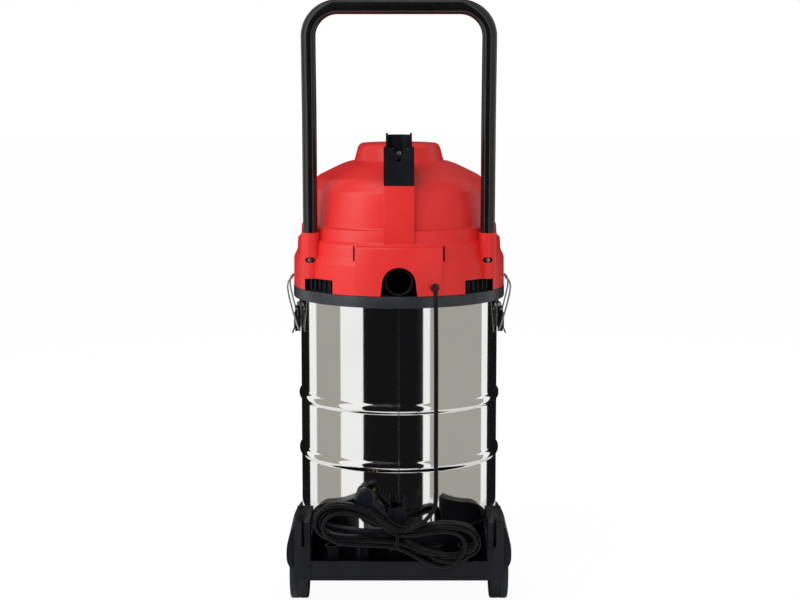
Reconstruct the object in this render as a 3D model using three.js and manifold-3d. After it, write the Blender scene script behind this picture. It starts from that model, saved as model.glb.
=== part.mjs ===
// Wheeled shop vacuum: steel drum, red motor head, push handle, dolly with rear tray.
// Millimetres, +Z up, front at -Y. The origin is on the floor under the drum's axis.

import * as THREE from 'three';
import { mergeVertices } from 'three/addons/utils/BufferGeometryUtils.js';
import Module from 'manifold-3d';

const wasm = await Module();
wasm.setup();

// Driving dimensions

const gap = 0.3; // between pieces that touch
const runningGap = 0.3; // between a pin or axle and its hole
const around = 32; // facets of the large turned pieces

const drumRadius = 175;
const drumWall = 1.2;
const drumFloorZ = 100;
const drumTopZ = 526;
const drumCorner = 12;
const beadLevels = [242, 342];
const beadDepth = 4;
const beadHalfHeight = 10;
const beadHalfFlat = 4;
const rimRollDepth = 3.2;
const rimRollHeight = 7;

const inletZ = drumTopZ - 101;
const inletReach = drumRadius + 60;
const inletBore = 25;
const inletWall = 3;
const inletCollarRadius = 34;
const inletLipRadius = 38;
const inletLipLength = 7;
const inletFlangeRadius = 52;
const inletFlangeThickness = 7;
const inletScrewCircle = 43;
const inletScrewRadius = 2;
const gasketThickness = 1.5;
const deflectorWall = 3;
const deflectorDepth = 50;

const latchPivotZ = drumTopZ - 31;
const latchPivotOut = 6.5;
const latchPinRadius = 2;
const latchHalfWidth = 29;
const latchSheet = 2;
const latchThrow = 36;
const bailHalfWidth = 34.5;
const bailWireRadius = 1.5;
const bailHookZ = drumTopZ + 24;

const dollyBottomZ = 60;
const dollyWall = 5;
const dollyRingTopZ = 130;
const dollyRingWall = 7.5;
const dollyLedgeRadius = 140;
const trayReach = drumRadius + 60;
const trayHalfWidth = 150;
const trayLip = 6;
const trayLipTopZ = 92.5;
const trayFloor = 6;
const blockTopZ = 161;
const blockFace = 27;
const fenderBulge = 13;
const pegRadius = 14;
const pegTopZ = 111.5;
const pegBore = 10.5;
const pegColumns = [62, 113];
const pegSpigot = 6;
const pegY = drumRadius + 21;

const hookX = 3.5;
const hookHalfWidth = 14.5;
const hookY = drumRadius + 16;
const hookBodyTopZ = 176;
const hookBodyBottomZ = 136;
const hookTopZ = 199;

const wheelRadius = 60;
const wheelWidth = 31;
const wheelInset = 2.5; // the wheel's middle stands this far inside the drum's radius
const wheelY = drumRadius - 45;
const axleRadius = 5;
const archClearance = 6;
const hubCapRadius = 20;

const casterRadius = 24;
const casterWidth = 18;
const casterTrail = 18;
const casterX = 110;
const casterY = -105;
const casterStemRadius = 5;
const casterPlateZ = 52;
const casterLeg = 2.5;
const casterAxleRadius = 3;
const casterBossRadius = 18;

const headZ = drumTopZ + 11; // parting line of the band and the red cover
const bandProud = 0.5;
const bandHeight = 20;
const coverRadius = drumRadius + 12;
const coverWall = 3;
const basePlate = 6;
const sealThickness = 2.6;
const plateHoleRadius = 64;

const hoodHalfWidth = 74;
const hoodHeight = 84;
const hoodProud = 2;
const archHalfWidth = 31.5;
const archRadius = 28.5;
const archSpring = 21;
const ribHalfWidth = 26;
const ribReach = 174;
const ribTop = 186;
const portRadius = 23;
const portWall = 2.5;
const portCentre = 24.5;
const portReach = 184;
const ventInner = 113;
const ventOuter = 163;
const ventHeight = 23;

const holsterTop = 249;
const holsterReach = 175;
const holsterBore = 18;
const holsterBoreY = 152;
const holsterBackTop = 270;
const holsterBackY = 118;

const handleTubeRadius = 12.5;
const handleAngle = 34.6;
const handleSocketWall = 3.2;
const socketBottom = 23;
const socketTop = 102;
const handleBendRise = 298;
const handleTopRise = 482.5;
const handleLean = 13;
const handleSweep = 28;
const handleCorner = 50;
const handleScrewRise = 55;

const switchRise = 51;
const switchHalfWidth = 12;
const switchHalfHeight = 9.8;
const switchPlate = 3;
const switchTilt = 8;

const fanRadius = 72;
const fanDepth = 46;
const fanWall = 3;
const fanEye = 30;
const motorRadius = 52;
const motorHeight = 118;
const motorWall = 2.5;
const motorFlange = 74;
const shaftRadius = 4;
const armatureRadius = 27;
const impellerRadius = 60;

const cageRadius = 46;
const cageDepth = 98;
const cageWall = 2.5;
const floatRadius = 38;
const floatHeight = 46;
const filterInner = 52;
const filterOuter = 80;
const filterLength = 145;
const filterPleats = 36;
const retainerThickness = 3;

const cordRadius = 3.75;
const cordExitX = -61;
const cordExitRise = 14;
const reliefRadius = 7.2;
const reliefReach = 198;
const plugRadius = 18.5;
const plugThickness = 19;
const pinLength = 18.5;

// Solids

function solid(geometry) {
  const plain = geometry.clone();
  plain.deleteAttribute('normal');
  plain.deleteAttribute('uv');
  const merged = mergeVertices(plain, 1e-4);
  const points = merged.attributes.position.array;
  const corners = merged.index.array;
  const faces = [];
  let volume = 0;
  for (let i = 0; i < corners.length; i += 3) {
    const [a, b, c] = [corners[i], corners[i + 1], corners[i + 2]];
    if (a === b || b === c || c === a) continue;
    faces.push([a, b, c]);
    const [p, q, r] = [a, b, c].map((k) => new THREE.Vector3().fromArray(points, 3 * k));
    volume += p.dot(q.cross(r));
  }
  const outward = volume < 0 ? faces.map(([a, b, c]) => [a, c, b]) : faces;
  const mesh = new wasm.Mesh({
    numProp: 3,
    vertProperties: new Float32Array(points),
    triVerts: new Uint32Array(outward.flat()),
  });
  return new wasm.Manifold(mesh);
}

function block([x0, x1], [y0, y1], [z0, z1]) {
  const box = new THREE.BoxGeometry(x1 - x0, y1 - y0, z1 - z0);
  return solid(box.translate((x0 + x1) / 2, (y0 + y1) / 2, (z0 + z1) / 2));
}

function taper(startRadius, endRadius, from, to, sides = 16) {
  const start = new THREE.Vector3(...from);
  const run = new THREE.Vector3(...to).sub(start);
  const turn = new THREE.Quaternion().setFromUnitVectors(new THREE.Vector3(0, 1, 0), run.clone().normalize());
  const cylinder = new THREE.CylinderGeometry(endRadius, startRadius, run.length(), sides);
  cylinder.applyQuaternion(turn);
  const middle = start.addScaledVector(run, 0.5);
  return solid(cylinder.translate(middle.x, middle.y, middle.z));
}

function rod(radius, from, to, sides = 16) {
  return taper(radius, radius, from, to, sides);
}

// A turned piece: [radius, height] points revolved about Z.
function turned(profile, facets = around) {
  const line = profile.map(([r, z]) => new THREE.Vector2(r, z));
  return solid(new THREE.LatheGeometry(line, facets).rotateX(Math.PI / 2));
}

// A turned ring: the profile closes on itself.
function turnedRing(profile, facets = around) {
  return turned([...profile, profile[0]], facets);
}

function outline(points) {
  return new THREE.Shape(points.map(([u, v]) => new THREE.Vector2(u, v)));
}

function extruded(shape, depth) {
  return new THREE.ExtrudeGeometry(shape, { depth, bevelEnabled: false, curveSegments: 8 });
}

// An outline seen from the front, [x, z], that runs from y0 to y1.
function frontPrism(shape, y0, y1) {
  return solid(extruded(shape, y1 - y0).rotateX(Math.PI / 2).translate(0, y1, 0));
}

// An outline seen from the side, [y, z], that runs from x0 to x1.
function sidePrism(shape, x0, x1) {
  const turn = new THREE.Matrix4().makeBasis(
    new THREE.Vector3(0, 1, 0),
    new THREE.Vector3(0, 0, 1),
    new THREE.Vector3(1, 0, 0),
  );
  return solid(extruded(shape, x1 - x0).applyMatrix4(turn).translate(x0, 0, 0));
}

function roundSection(radius, sides) {
  const corners = Array.from({ length: sides }, (_, i) => (2 * Math.PI * i) / sides);
  return outline(corners.map((a) => [radius * Math.cos(a), radius * Math.sin(a)]));
}

function pipe(points, radius, steps, sides) {
  const path = new THREE.CatmullRomCurve3(points.map((p) => new THREE.Vector3(...p)), false, 'centripetal');
  const options = { steps, bevelEnabled: false, extrudePath: path };
  return solid(new THREE.ExtrudeGeometry(roundSection(radius, sides), options));
}

function joined(...solids) {
  return solids.reduce((all, next) => all.add(next));
}

function cut(body, ...tools) {
  return tools.reduce((rest, tool) => rest.subtract(tool), body);
}

function finish(colour, roughness, metalness = 0) {
  return new THREE.MeshStandardMaterial({ color: colour, roughness, metalness });
}

const polishedSteel = finish(0xd8d8d6, 0.08, 1);
const zincSteel = finish(0xb9bbbd, 0.35, 1);
const redPlastic = finish(0xe02a28, 0.35);
const blackPlastic = finish(0x1c1e24, 0.45);
const bandPlastic = finish(0x3a3d46, 0.4);
const blackEnamel = finish(0x0c0c0e, 0.15, 0.2);
const rubber = finish(0x151515, 0.8);
const filterPaper = finish(0xe9e4d4, 0.9);
const laminations = finish(0x6f7275, 0.5, 0.8);
const cordCover = finish(0x121214, 0.5);

function part(name, body, material) {
  const data = body.getMesh();
  const geometry = new THREE.BufferGeometry();
  geometry.setAttribute('position', new THREE.BufferAttribute(new Float32Array(data.vertProperties), 3));
  geometry.setIndex(new THREE.BufferAttribute(new Uint32Array(data.triVerts), 1));
  const mesh = new THREE.Mesh(geometry, material);
  mesh.name = name;
  return mesh;
}

function assembly(...children) {
  const group = new THREE.Group();
  group.add(...children);
  return group;
}

// Drum

function drumSheet(inset) {
  const r = drumRadius - inset;
  const z = drumFloorZ + inset;
  const line = [[0, z], [r - drumCorner, z], [r - drumCorner * 0.3, z + drumCorner * 0.3], [r, z + drumCorner]];
  for (const level of beadLevels) {
    line.push([r, level - beadHalfHeight], [r + beadDepth, level - beadHalfFlat]);
    line.push([r + beadDepth, level + beadHalfFlat], [r, level + beadHalfHeight]);
  }
  return line;
}

function drum() {
  const roll = [
    [drumRadius, drumTopZ - rimRollHeight],
    [drumRadius + rimRollDepth, drumTopZ - 0.75 * rimRollHeight],
    [drumRadius + rimRollDepth, drumTopZ - 0.2 * rimRollHeight],
    [drumRadius + rimRollDepth / 2, drumTopZ],
    [drumRadius - drumWall, drumTopZ],
  ];
  const shell = turned([...drumSheet(0), ...roll, ...drumSheet(drumWall).reverse()]);
  const holeRadius = inletBore + inletWall + runningGap;
  const hole = rod(holeRadius, [0, -drumRadius - 20, inletZ], [0, -drumRadius + 40, inletZ], 20);
  return part('tank_shell', cut(shell, hole, ...inletScrewHoles()), polishedSteel);
}

function drumCylinder(radius, z0 = drumFloorZ, z1 = drumTopZ) {
  return turned([[0, z0], [radius, z0], [radius, z1], [0, z1]]);
}

// Inlet

function inletRod(radius, y0, y1, sides = 20) {
  return rod(radius, [0, y0, inletZ], [0, y1, inletZ], sides);
}

function inlet() {
  const seat = drumRadius + gasketThickness + 2 * gap;
  const spigot = inletBore + inletWall;
  const saddle = inletRod(inletFlangeRadius, -drumRadius - inletFlangeThickness, -drumRadius + 30, 24);
  const collar = inletRod(inletCollarRadius, -inletReach, -drumRadius - inletFlangeThickness + 1);
  const lip = inletRod(inletLipRadius, -inletReach, -inletReach + inletLipLength);
  const throughTube = inletRod(spigot, -drumRadius - 5, -drumRadius + 8);
  const bore = inletRod(inletBore, -inletReach - 1, -drumRadius + 40);
  const flange = cut(joined(cut(saddle, drumCylinder(seat)), collar, lip, throughTube), bore, ...inletScrewHoles());

  const gasketDisc = inletRod(inletFlangeRadius - 2, -drumRadius - 8, -drumRadius + 30);
  const gasketShell = gasketDisc.intersect(drumCylinder(drumRadius + gap + gasketThickness));
  const gasketCuts = [drumCylinder(drumRadius + gap), inletRod(spigot + gap, -inletReach, 0)];
  const gasket = cut(gasketShell, ...gasketCuts, ...inletScrewHoles());

  return assembly(
    part('inlet_flange', flange, blackPlastic),
    part('inlet_gasket', gasket, rubber),
    part('inlet_deflector', deflector(spigot), blackPlastic),
    ...inletScrews(),
  );
}

function deflector(spigot) {
  const back = -drumRadius + 8;
  const plate = inletRod(inletFlangeRadius - 8, -drumRadius - 2, back + 8);
  const inside = plate.intersect(drumCylinder(drumRadius - drumWall - gap));
  const side = spigot + 6;
  const end = -drumRadius + deflectorDepth;
  const outer = block([-side, side], [back, end], [inletZ - side, inletZ + side]);
  const inner = block(
    [-side + deflectorWall, side - deflectorWall],
    [back - 20, end - deflectorWall],
    [inletZ - side - 1, inletZ + side - deflectorWall],
  );
  const plateWithHole = cut(inside, inletRod(spigot + gap, -inletReach, back + 9));
  return cut(joined(plateWithHole, cut(outer, inner)), ...inletScrewHoles());
}

function inletScrewPlaces() {
  const turns = [45, 135, 225, 315].map(THREE.MathUtils.degToRad);
  return turns.map((a) => [inletScrewCircle * Math.cos(a), inletZ + inletScrewCircle * Math.sin(a)]);
}

function inletScrewHoles() {
  return inletScrewPlaces().map(([x, z]) => {
    return rod(inletScrewRadius + gap, [x, -drumRadius - 20, z], [x, -drumRadius + 30, z], 8);
  });
}

function inletScrews() {
  const face = -drumRadius - inletFlangeThickness - gap;
  return inletScrewPlaces().map(([x, z], i) => {
    const head = rod(2 * inletScrewRadius, [x, face - 2.4, z], [x, face, z], 10);
    const shank = rod(inletScrewRadius, [x, face, z], [x, -drumRadius + 14, z], 8);
    return part(`inlet_screw_${i + 1}`, joined(head, shank), zincSteel);
  });
}

// Side latches, modelled on the +X side

const latchPivotX = drumRadius + latchPivotOut;
const bailPivotX = latchPivotX - 3.5;
const bailPivotZ = latchPivotZ - latchThrow;
const bailHookX = coverRadius + bandProud + bailWireRadius + 0.5;

function latchBracket() {
  const earInner = latchHalfWidth - latchSheet - 5;
  const earOuter = earInner + 3;
  const x = drumRadius;
  const plate = block([x - 8, x + 4], [-earOuter - 0.5, earOuter + 0.5], [latchPivotZ - 33, latchPivotZ + 10]);
  const ears = [-1, 1].map((s) => {
    const sides = [s * earInner, s * earOuter].sort((a, b) => a - b);
    return block([x + 2, latchPivotX + 2.2], sides, [latchPivotZ - 6, latchPivotZ + 6]);
  });
  const pinHole = rod(latchPinRadius + runningGap, [latchPivotX, -40, latchPivotZ], [latchPivotX, 40, latchPivotZ], 12);
  return cut(joined(cut(plate, drumCylinder(drumRadius + gap)), ...ears), pinHole);
}

function latchLever() {
  const [x, z] = [latchPivotX, latchPivotZ];
  const face = [
    [x + 2.5, z - 8.5],
    [x + 5, z - 8.5],
    [x + 5, z - 33],
    [x + 9, z - 43],
    [x + 6.6, z - 44],
    [x + 2.5, z - 34],
  ];
  const flange = [
    [x - 5.5, z + 5],
    [x + 3, z + 5],
    [x + 3, z - 40],
    [x - 6.5, z - 40],
    [x - 6.5, z - 8],
  ];
  const flanges = [-latchHalfWidth, latchHalfWidth - latchSheet].map((y) => {
    return frontPrism(outline(flange), y, y + latchSheet);
  });
  const pinHole = rod(latchPinRadius + runningGap, [x, -40, z], [x, 40, z], 12);
  const bailHole = rod(bailWireRadius + runningGap, [bailPivotX, -40, bailPivotZ], [bailPivotX, 40, bailPivotZ], 12);
  return cut(joined(frontPrism(outline(face), -latchHalfWidth, latchHalfWidth), ...flanges), pinHole, bailHole);
}

function latchBail() {
  const w = bailHalfWidth;
  const half = [
    [bailPivotX, w, bailPivotZ],
    [bailPivotX + 12, w, bailPivotZ + 42],
    [bailPivotX + 19, w, bailPivotZ + 70],
    [bailHookX + 5, w, bailHookZ - 4],
    [bailHookX + 1, w - 3, bailHookZ - 0.5],
    [bailHookX, w - 8, bailHookZ],
  ];
  const other = half.map(([x, y, z]) => [x, -y, z]).reverse();
  const feet = [1, -1].map((s) => {
    const inner = s * (latchHalfWidth - latchSheet - 1);
    return rod(bailWireRadius, [bailPivotX, inner, bailPivotZ], [bailPivotX, s * (w + 0.5), bailPivotZ], 8);
  });
  return joined(pipe([...half, ...other], bailWireRadius, 34, 6), ...feet);
}

function latch(side) {
  const ends = latchHalfWidth + 1;
  const pin = rod(latchPinRadius, [latchPivotX, -ends, latchPivotZ], [latchPivotX, ends, latchPivotZ], 10);
  return assembly(
    part(`latch_bracket_${side}`, latchBracket(), zincSteel),
    part(`latch_pin_${side}`, pin, zincSteel),
    part(`latch_lever_${side}`, latchLever(), blackEnamel),
    part(`latch_bail_${side}`, latchBail(), zincSteel),
  );
}

// Dolly

const dollyRadius = drumRadius + dollyRingWall;
const wheelX = drumRadius - wheelInset;
const wheelInnerX = wheelX - wheelWidth / 2;
const wheelOuterX = wheelX + wheelWidth / 2;
const wallOuterX = wheelInnerX - 3.5;
const wallInnerX = wallOuterX - dollyWall;
const blockInnerX = Math.max(trayHalfWidth, wallInnerX);
const blockFaceX = blockInnerX + blockFace;
const fenderX = blockFaceX + fenderBulge;
const archInner = wheelRadius + archClearance;
const guardReach = archInner + 6;

function dollyRing() {
  return turnedRing([
    [dollyLedgeRadius, drumFloorZ - gap - 8],
    [dollyRadius - dollyWall, drumFloorZ - gap - 8],
    [dollyRadius - dollyWall, dollyBottomZ],
    [dollyRadius, dollyBottomZ],
    [dollyRadius, dollyRingTopZ],
    [drumRadius + gap, dollyRingTopZ],
    [drumRadius + gap, drumFloorZ - gap],
    [dollyLedgeRadius, drumFloorZ - gap],
  ]);
}

function dollyTray() {
  const floorTop = dollyBottomZ + trayFloor;
  const reach = blockInnerX + 4;
  const floor = block([-reach, reach], [wheelY + 8, trayReach], [dollyBottomZ, floorTop]);
  const lip = block([-reach, reach], [trayReach - trayLip, trayReach], [dollyBottomZ, trayLipTopZ]);
  const pegHoles = pegColumns.flatMap((x) => [x, -x]).map((x) => {
    return rod(pegSpigot + gap, [x, pegY, dollyBottomZ - 1], [x, pegY, floorTop + 1], 12);
  });
  return cut(joined(floor, lip), ...pegHoles);
}

// A pair of hollow pegs that hold nozzles, on one foot that is pushed into the tray's floor
function accessoryPegs(side) {
  const seat = dollyBottomZ + trayFloor + gap;
  const outward = side === 'left' ? -1 : 1;
  const places = pegColumns.map((x) => outward * x);
  const posts = places.map((x) => rod(pegRadius, [x, pegY, seat], [x, pegY, pegTopZ], 20));
  const spigots = places.map((x) => rod(pegSpigot, [x, pegY, dollyBottomZ + 1], [x, pegY, seat + 1], 12));
  const bores = places.map((x) => rod(pegBore, [x, pegY, seat + 4], [x, pegY, pegTopZ + 1], 16));
  const foot = block([...places].sort((a, b) => a - b), [pegY - 8, pegY + 8], [seat, seat + 3]);
  return part(`accessory_pegs_${side}`, cut(joined(...posts, ...spigots, foot), ...bores), blackPlastic);
}

// Slotted corner block, wheel guard and axle wall, on the +X side
function dollyCorner() {
  const blockOutline = [
    [blockInnerX, dollyBottomZ],
    [blockFaceX, dollyBottomZ],
    [blockFaceX, dollyBottomZ + 20],
    [fenderX - 4, dollyBottomZ + 22],
    [fenderX, dollyBottomZ + 34],
    [fenderX, dollyBottomZ + 50],
    [fenderX - 3, dollyBottomZ + 67],
    [blockFaceX + 5, blockTopZ - 17],
    [blockFaceX - 3, blockTopZ],
    [blockInnerX, blockTopZ],
  ];
  const guardOutline = [
    [trayReach, dollyBottomZ],
    [trayReach, blockTopZ],
    [wheelY, blockTopZ],
    [wheelY - 0.45 * guardReach, blockTopZ - 8],
    [wheelY - 0.75 * guardReach, blockTopZ - 27],
    [wheelY - 0.94 * guardReach, blockTopZ - 54],
    [wheelY - guardReach, dollyBottomZ + 24],
    [wheelY - guardReach, dollyBottomZ + 18],
    [wheelY, dollyBottomZ + 18],
    [wheelY + archInner + 4, dollyBottomZ],
  ];
  const rearView = frontPrism(outline(blockOutline), 0, trayReach);
  const corner = rearView.intersect(sidePrism(outline(guardOutline), 0, fenderX + 1));
  const slotX = blockInnerX + 9;
  const slot = block([slotX, slotX + 5], [trayReach - 15, trayReach + 1], [dollyBottomZ + 58, blockTopZ + 1]);
  const wallOutline = [
    [wheelY - 20, Math.min(dollyBottomZ, wheelRadius) - 12],
    [wheelY + 20, Math.min(dollyBottomZ, wheelRadius) - 12],
    [wheelY + 40, dollyBottomZ],
    [trayReach, dollyBottomZ],
    [trayReach, trayLipTopZ],
    [wheelY + archInner, dollyRingTopZ],
    [wheelY - 20, dollyRingTopZ],
    [wheelY - archInner, Math.max(dollyBottomZ, wheelRadius) + 6],
    [wheelY - archInner, dollyBottomZ],
  ];
  const wall = sidePrism(outline(wallOutline), wallInnerX, wallOuterX);
  return joined(cut(corner, slot, wheelWell()), wall);
}

function wheelWell() {
  return rod(archInner, [wallOuterX, wheelY, wheelRadius], [fenderX + 30, wheelY, wheelRadius], 32);
}

function mirroredX(body) {
  return body.mirror([1, 0, 0]);
}

function casterBosses() {
  return [casterX, -casterX].map((x) => {
    return rod(casterBossRadius, [x, casterY, dollyBottomZ + 2], [x, casterY, drumFloorZ - 4], 20);
  });
}

// The round base that the drum stands in, and the rear tray that is fixed behind it.
function dolly() {
  const corners = joined(dollyCorner(), mirroredX(dollyCorner()));
  const round = turned([[0, 0], [dollyRadius, 0], [dollyRadius, blockTopZ + 40], [0, blockTopZ + 40]]);
  const roundRoom = turned([
    [0, -1],
    [dollyRadius + gap, -1],
    [dollyRadius + gap, blockTopZ + 40],
    [0, blockTopZ + 40],
  ]);
  const ring = cut(dollyRing(), wheelWell(), mirroredX(wheelWell()));
  const base = joined(ring, corners.intersect(round), ...casterBosses());
  const axleHole = rod(axleRadius + runningGap, [-300, wheelY, wheelRadius], [300, wheelY, wheelRadius]);
  const stemHoles = [casterX, -casterX].map((x) => {
    const from = [x, casterY, dollyBottomZ - 5];
    return rod(casterStemRadius + runningGap, from, [x, casterY, drumFloorZ - gap - 9], 12);
  });
  const drumRoom = drumCylinder(drumRadius + gap, drumFloorZ - gap, blockTopZ + 40);
  const tray = joined(dollyTray(), corners);
  return assembly(
    part('dolly_base', cut(base, axleHole, ...stemHoles, drumRoom), blackPlastic),
    part('rear_tray', cut(tray, roundRoom, axleHole, hookFoot(gap)), blackPlastic),
    accessoryPegs('right'),
    accessoryPegs('left'),
  );
}

// The hook's foot drops into a pocket in the tray's floor.
function hookFoot(clearance) {
  const halfWidth = hookHalfWidth + clearance;
  const top = dollyBottomZ + trayFloor;
  const sides = [hookY - clearance, hookY + 13 + clearance];
  return block([hookX - halfWidth, hookX + halfWidth], sides, [top - 3 - clearance, top + 1]);
}

function tubeHook() {
  const w = hookHalfWidth;
  const prongs = [
    [-w, hookBodyTopZ - 4],
    [w, hookBodyTopZ - 4],
    [w, hookTopZ - 9],
    [w - 2.5, hookTopZ],
    [w - 5, hookTopZ],
    [w - 6, hookBodyTopZ + 4],
    [6 - w, hookBodyTopZ + 4],
    [5 - w, hookTopZ],
    [2.5 - w, hookTopZ],
    [-w, hookTopZ - 9],
  ];
  const sides = [hookX - w, hookX + w];
  const stem = block(sides, [hookY, hookY + 9], [dollyBottomZ + trayFloor - 1, hookBodyTopZ]);
  const body = block(sides, [hookY, hookY + 15], [hookBodyBottomZ, hookBodyTopZ]);
  const fork = frontPrism(outline(prongs), hookY, hookY + 9).translate([hookX, 0, 0]);
  return part('tube_hook', joined(hookFoot(0), stem, body, fork), blackPlastic);
}

// Rear wheels on one axle, each wheel turned about Z and then laid on its side

function rearWheel(side) {
  const w = wheelWidth / 2;
  const bore = axleRadius + runningGap;
  const tyreInner = wheelRadius - 9;
  const profile = [
    [bore, -w + 1],
    [hubCapRadius + 3, -w + 1],
    [hubCapRadius + 3, -w + 6],
    [tyreInner - 2, -w + 6],
    [tyreInner, -w],
    [wheelRadius - 3, -w],
    [wheelRadius, -w + 3],
    [wheelRadius, w - 3],
    [wheelRadius - 3, w],
    [tyreInner, w],
    [tyreInner - 2, w - 8],
    [hubCapRadius + 4, w - 8],
    [hubCapRadius + 4, w - 2],
    [hubCapRadius + gap, w - 2],
    [hubCapRadius + gap, w - 7],
    [bore, w - 7],
  ];
  const cap = [
    [0, w - 7 + gap],
    [hubCapRadius, w - 7 + gap],
    [hubCapRadius, w - 1],
    [hubCapRadius - 3, w + 2],
    [0, w + 3],
  ];
  const wheel = assembly(
    part(`rear_wheel_${side}`, turnedRing(profile, 24), blackPlastic),
    part(`hub_cap_${side}`, turned(cap, 20), bandPlastic),
  );
  const outward = side === 'left' ? -1 : 1;
  wheel.rotation.y = (outward * Math.PI) / 2;
  wheel.position.set(outward * wheelX, wheelY, wheelRadius);
  return wheel;
}

function rearAxle() {
  const half = wheelOuterX - 7 - gap;
  return part('rear_axle', rod(axleRadius, [-half, wheelY, wheelRadius], [half, wheelY, wheelRadius]), zincSteel);
}

// Front casters, modelled about their own swivel axis

function caster(side) {
  const legInner = casterWidth / 2 + 2;
  const plateTop = casterPlateZ + 5;
  const plate = rod(legInner + casterLeg + 3, [0, 0, casterPlateZ], [0, 0, plateTop], 20);
  const stem = rod(casterStemRadius, [0, 0, casterPlateZ], [0, 0, drumFloorZ - gap - 10], 12);
  const legOutline = [
    [-8, plateTop - 1],
    [casterTrail, plateTop - 1],
    [casterTrail + 8, casterRadius + 4],
    [casterTrail + 5, casterRadius - 6],
    [casterTrail - 5, casterRadius - 6],
  ];
  const legs = [-legInner - casterLeg, legInner].map((x) => sidePrism(outline(legOutline), x, x + casterLeg));
  const pivot = [casterTrail, casterRadius];
  const axleHole = rod(casterAxleRadius + gap, [-40, ...pivot], [40, ...pivot], 12);
  const axleHalf = legInner + casterLeg + 1.5;
  const axle = rod(casterAxleRadius, [-axleHalf, ...pivot], [axleHalf, ...pivot], 10);
  const r = casterRadius;
  const w = casterWidth / 2;
  const profile = [
    [casterAxleRadius + runningGap, -w],
    [r - 8, -w],
    [r - 2, -w],
    [r, -w + 2],
    [r, w - 2],
    [r - 2, w],
    [casterAxleRadius + runningGap, w],
  ];
  const wheel = part(`caster_wheel_${side}`, turnedRing(profile, 20), rubber);
  wheel.rotation.y = Math.PI / 2;
  wheel.position.set(0, ...pivot);
  const unit = assembly(
    part(`caster_fork_${side}`, cut(joined(plate, stem, ...legs), axleHole), blackPlastic),
    part(`caster_axle_${side}`, axle, zincSteel),
    wheel,
  );
  unit.position.set(side === 'left' ? -casterX : casterX, casterY, 0);
  return unit;
}

// Motor head. Heights are measured from the parting line, where the head's group stands.

const bandRadius = coverRadius + bandProud;
const sealTop = drumTopZ - headZ + gap + sealThickness;

function headBase() {
  const bandInner = drumRadius + rimRollDepth + 4;
  const lipOuter = drumRadius - drumWall - 4.8;
  const channelTop = sealTop + gap;
  const ring = turnedRing([
    [bandInner, -bandHeight],
    [bandRadius, -bandHeight],
    [bandRadius, -gap],
    [plateHoleRadius, -gap],
    [plateHoleRadius, -basePlate],
    [lipOuter - 3, -basePlate],
    [lipOuter - 3, channelTop - 24],
    [lipOuter, channelTop - 24],
    [lipOuter, channelTop],
    [bandInner, channelTop],
  ]);
  return part('head_base', ring, bandPlastic);
}

function headSeal() {
  const inner = drumRadius - drumWall - 3;
  const outer = drumRadius + rimRollDepth + 2;
  const bottom = sealTop - sealThickness;
  return part('head_seal', turnedRing([[inner, bottom], [outer, bottom], [outer, sealTop], [inner, sealTop]]), rubber);
}

// The cover's outer line, from the parting line to the middle of the cap.
function coverLine(grow) {
  const r = coverRadius + grow;
  const up = grow;
  return [
    [r, 0],
    [r - 0.5, 51 + up],
    [r - 6.7, 64 + up],
    [r - 7.2, 84 + up],
    [r - 13.5, 92.5 + up],
    [r - 15, 113 + up],
    [r - 21, 114.5 + up],
    [r - 30, 169 + up],
    [r - 44, 193 + up],
    [r - 65, 204 + up],
    [r - 86, 214 + up],
    [r - 108, 220 + up],
    [r - 114.5, 242 + up],
    [r - 121, 250 + up],
    [0, 250 + up],
  ];
}

function coverSolid(grow) {
  return turned([[0, 0], ...coverLine(grow)]);
}

const handleRadiusFromAxis = coverRadius - 2.2;
const handleTurn = THREE.MathUtils.degToRad(handleAngle);
const handleX = handleRadiusFromAxis * Math.cos(handleTurn);
const handleY = handleRadiusFromAxis * Math.sin(handleTurn);
const rearShift = coverRadius - 187; // the rear fittings follow the cover's radius

function archOpening() {
  const shape = new THREE.Shape();
  shape.moveTo(-archHalfWidth, -1);
  shape.lineTo(archHalfWidth, -1);
  shape.lineTo(archRadius, archSpring);
  shape.absarc(0, archSpring, archRadius, 0, Math.PI, false);
  return frontPrism(shape, coverRadius - 40, coverRadius + 20);
}

function handleAt(rise) {
  const lean = (handleLean * (rise - socketBottom)) / (handleBendRise - socketBottom);
  return handleY + lean;
}

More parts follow.
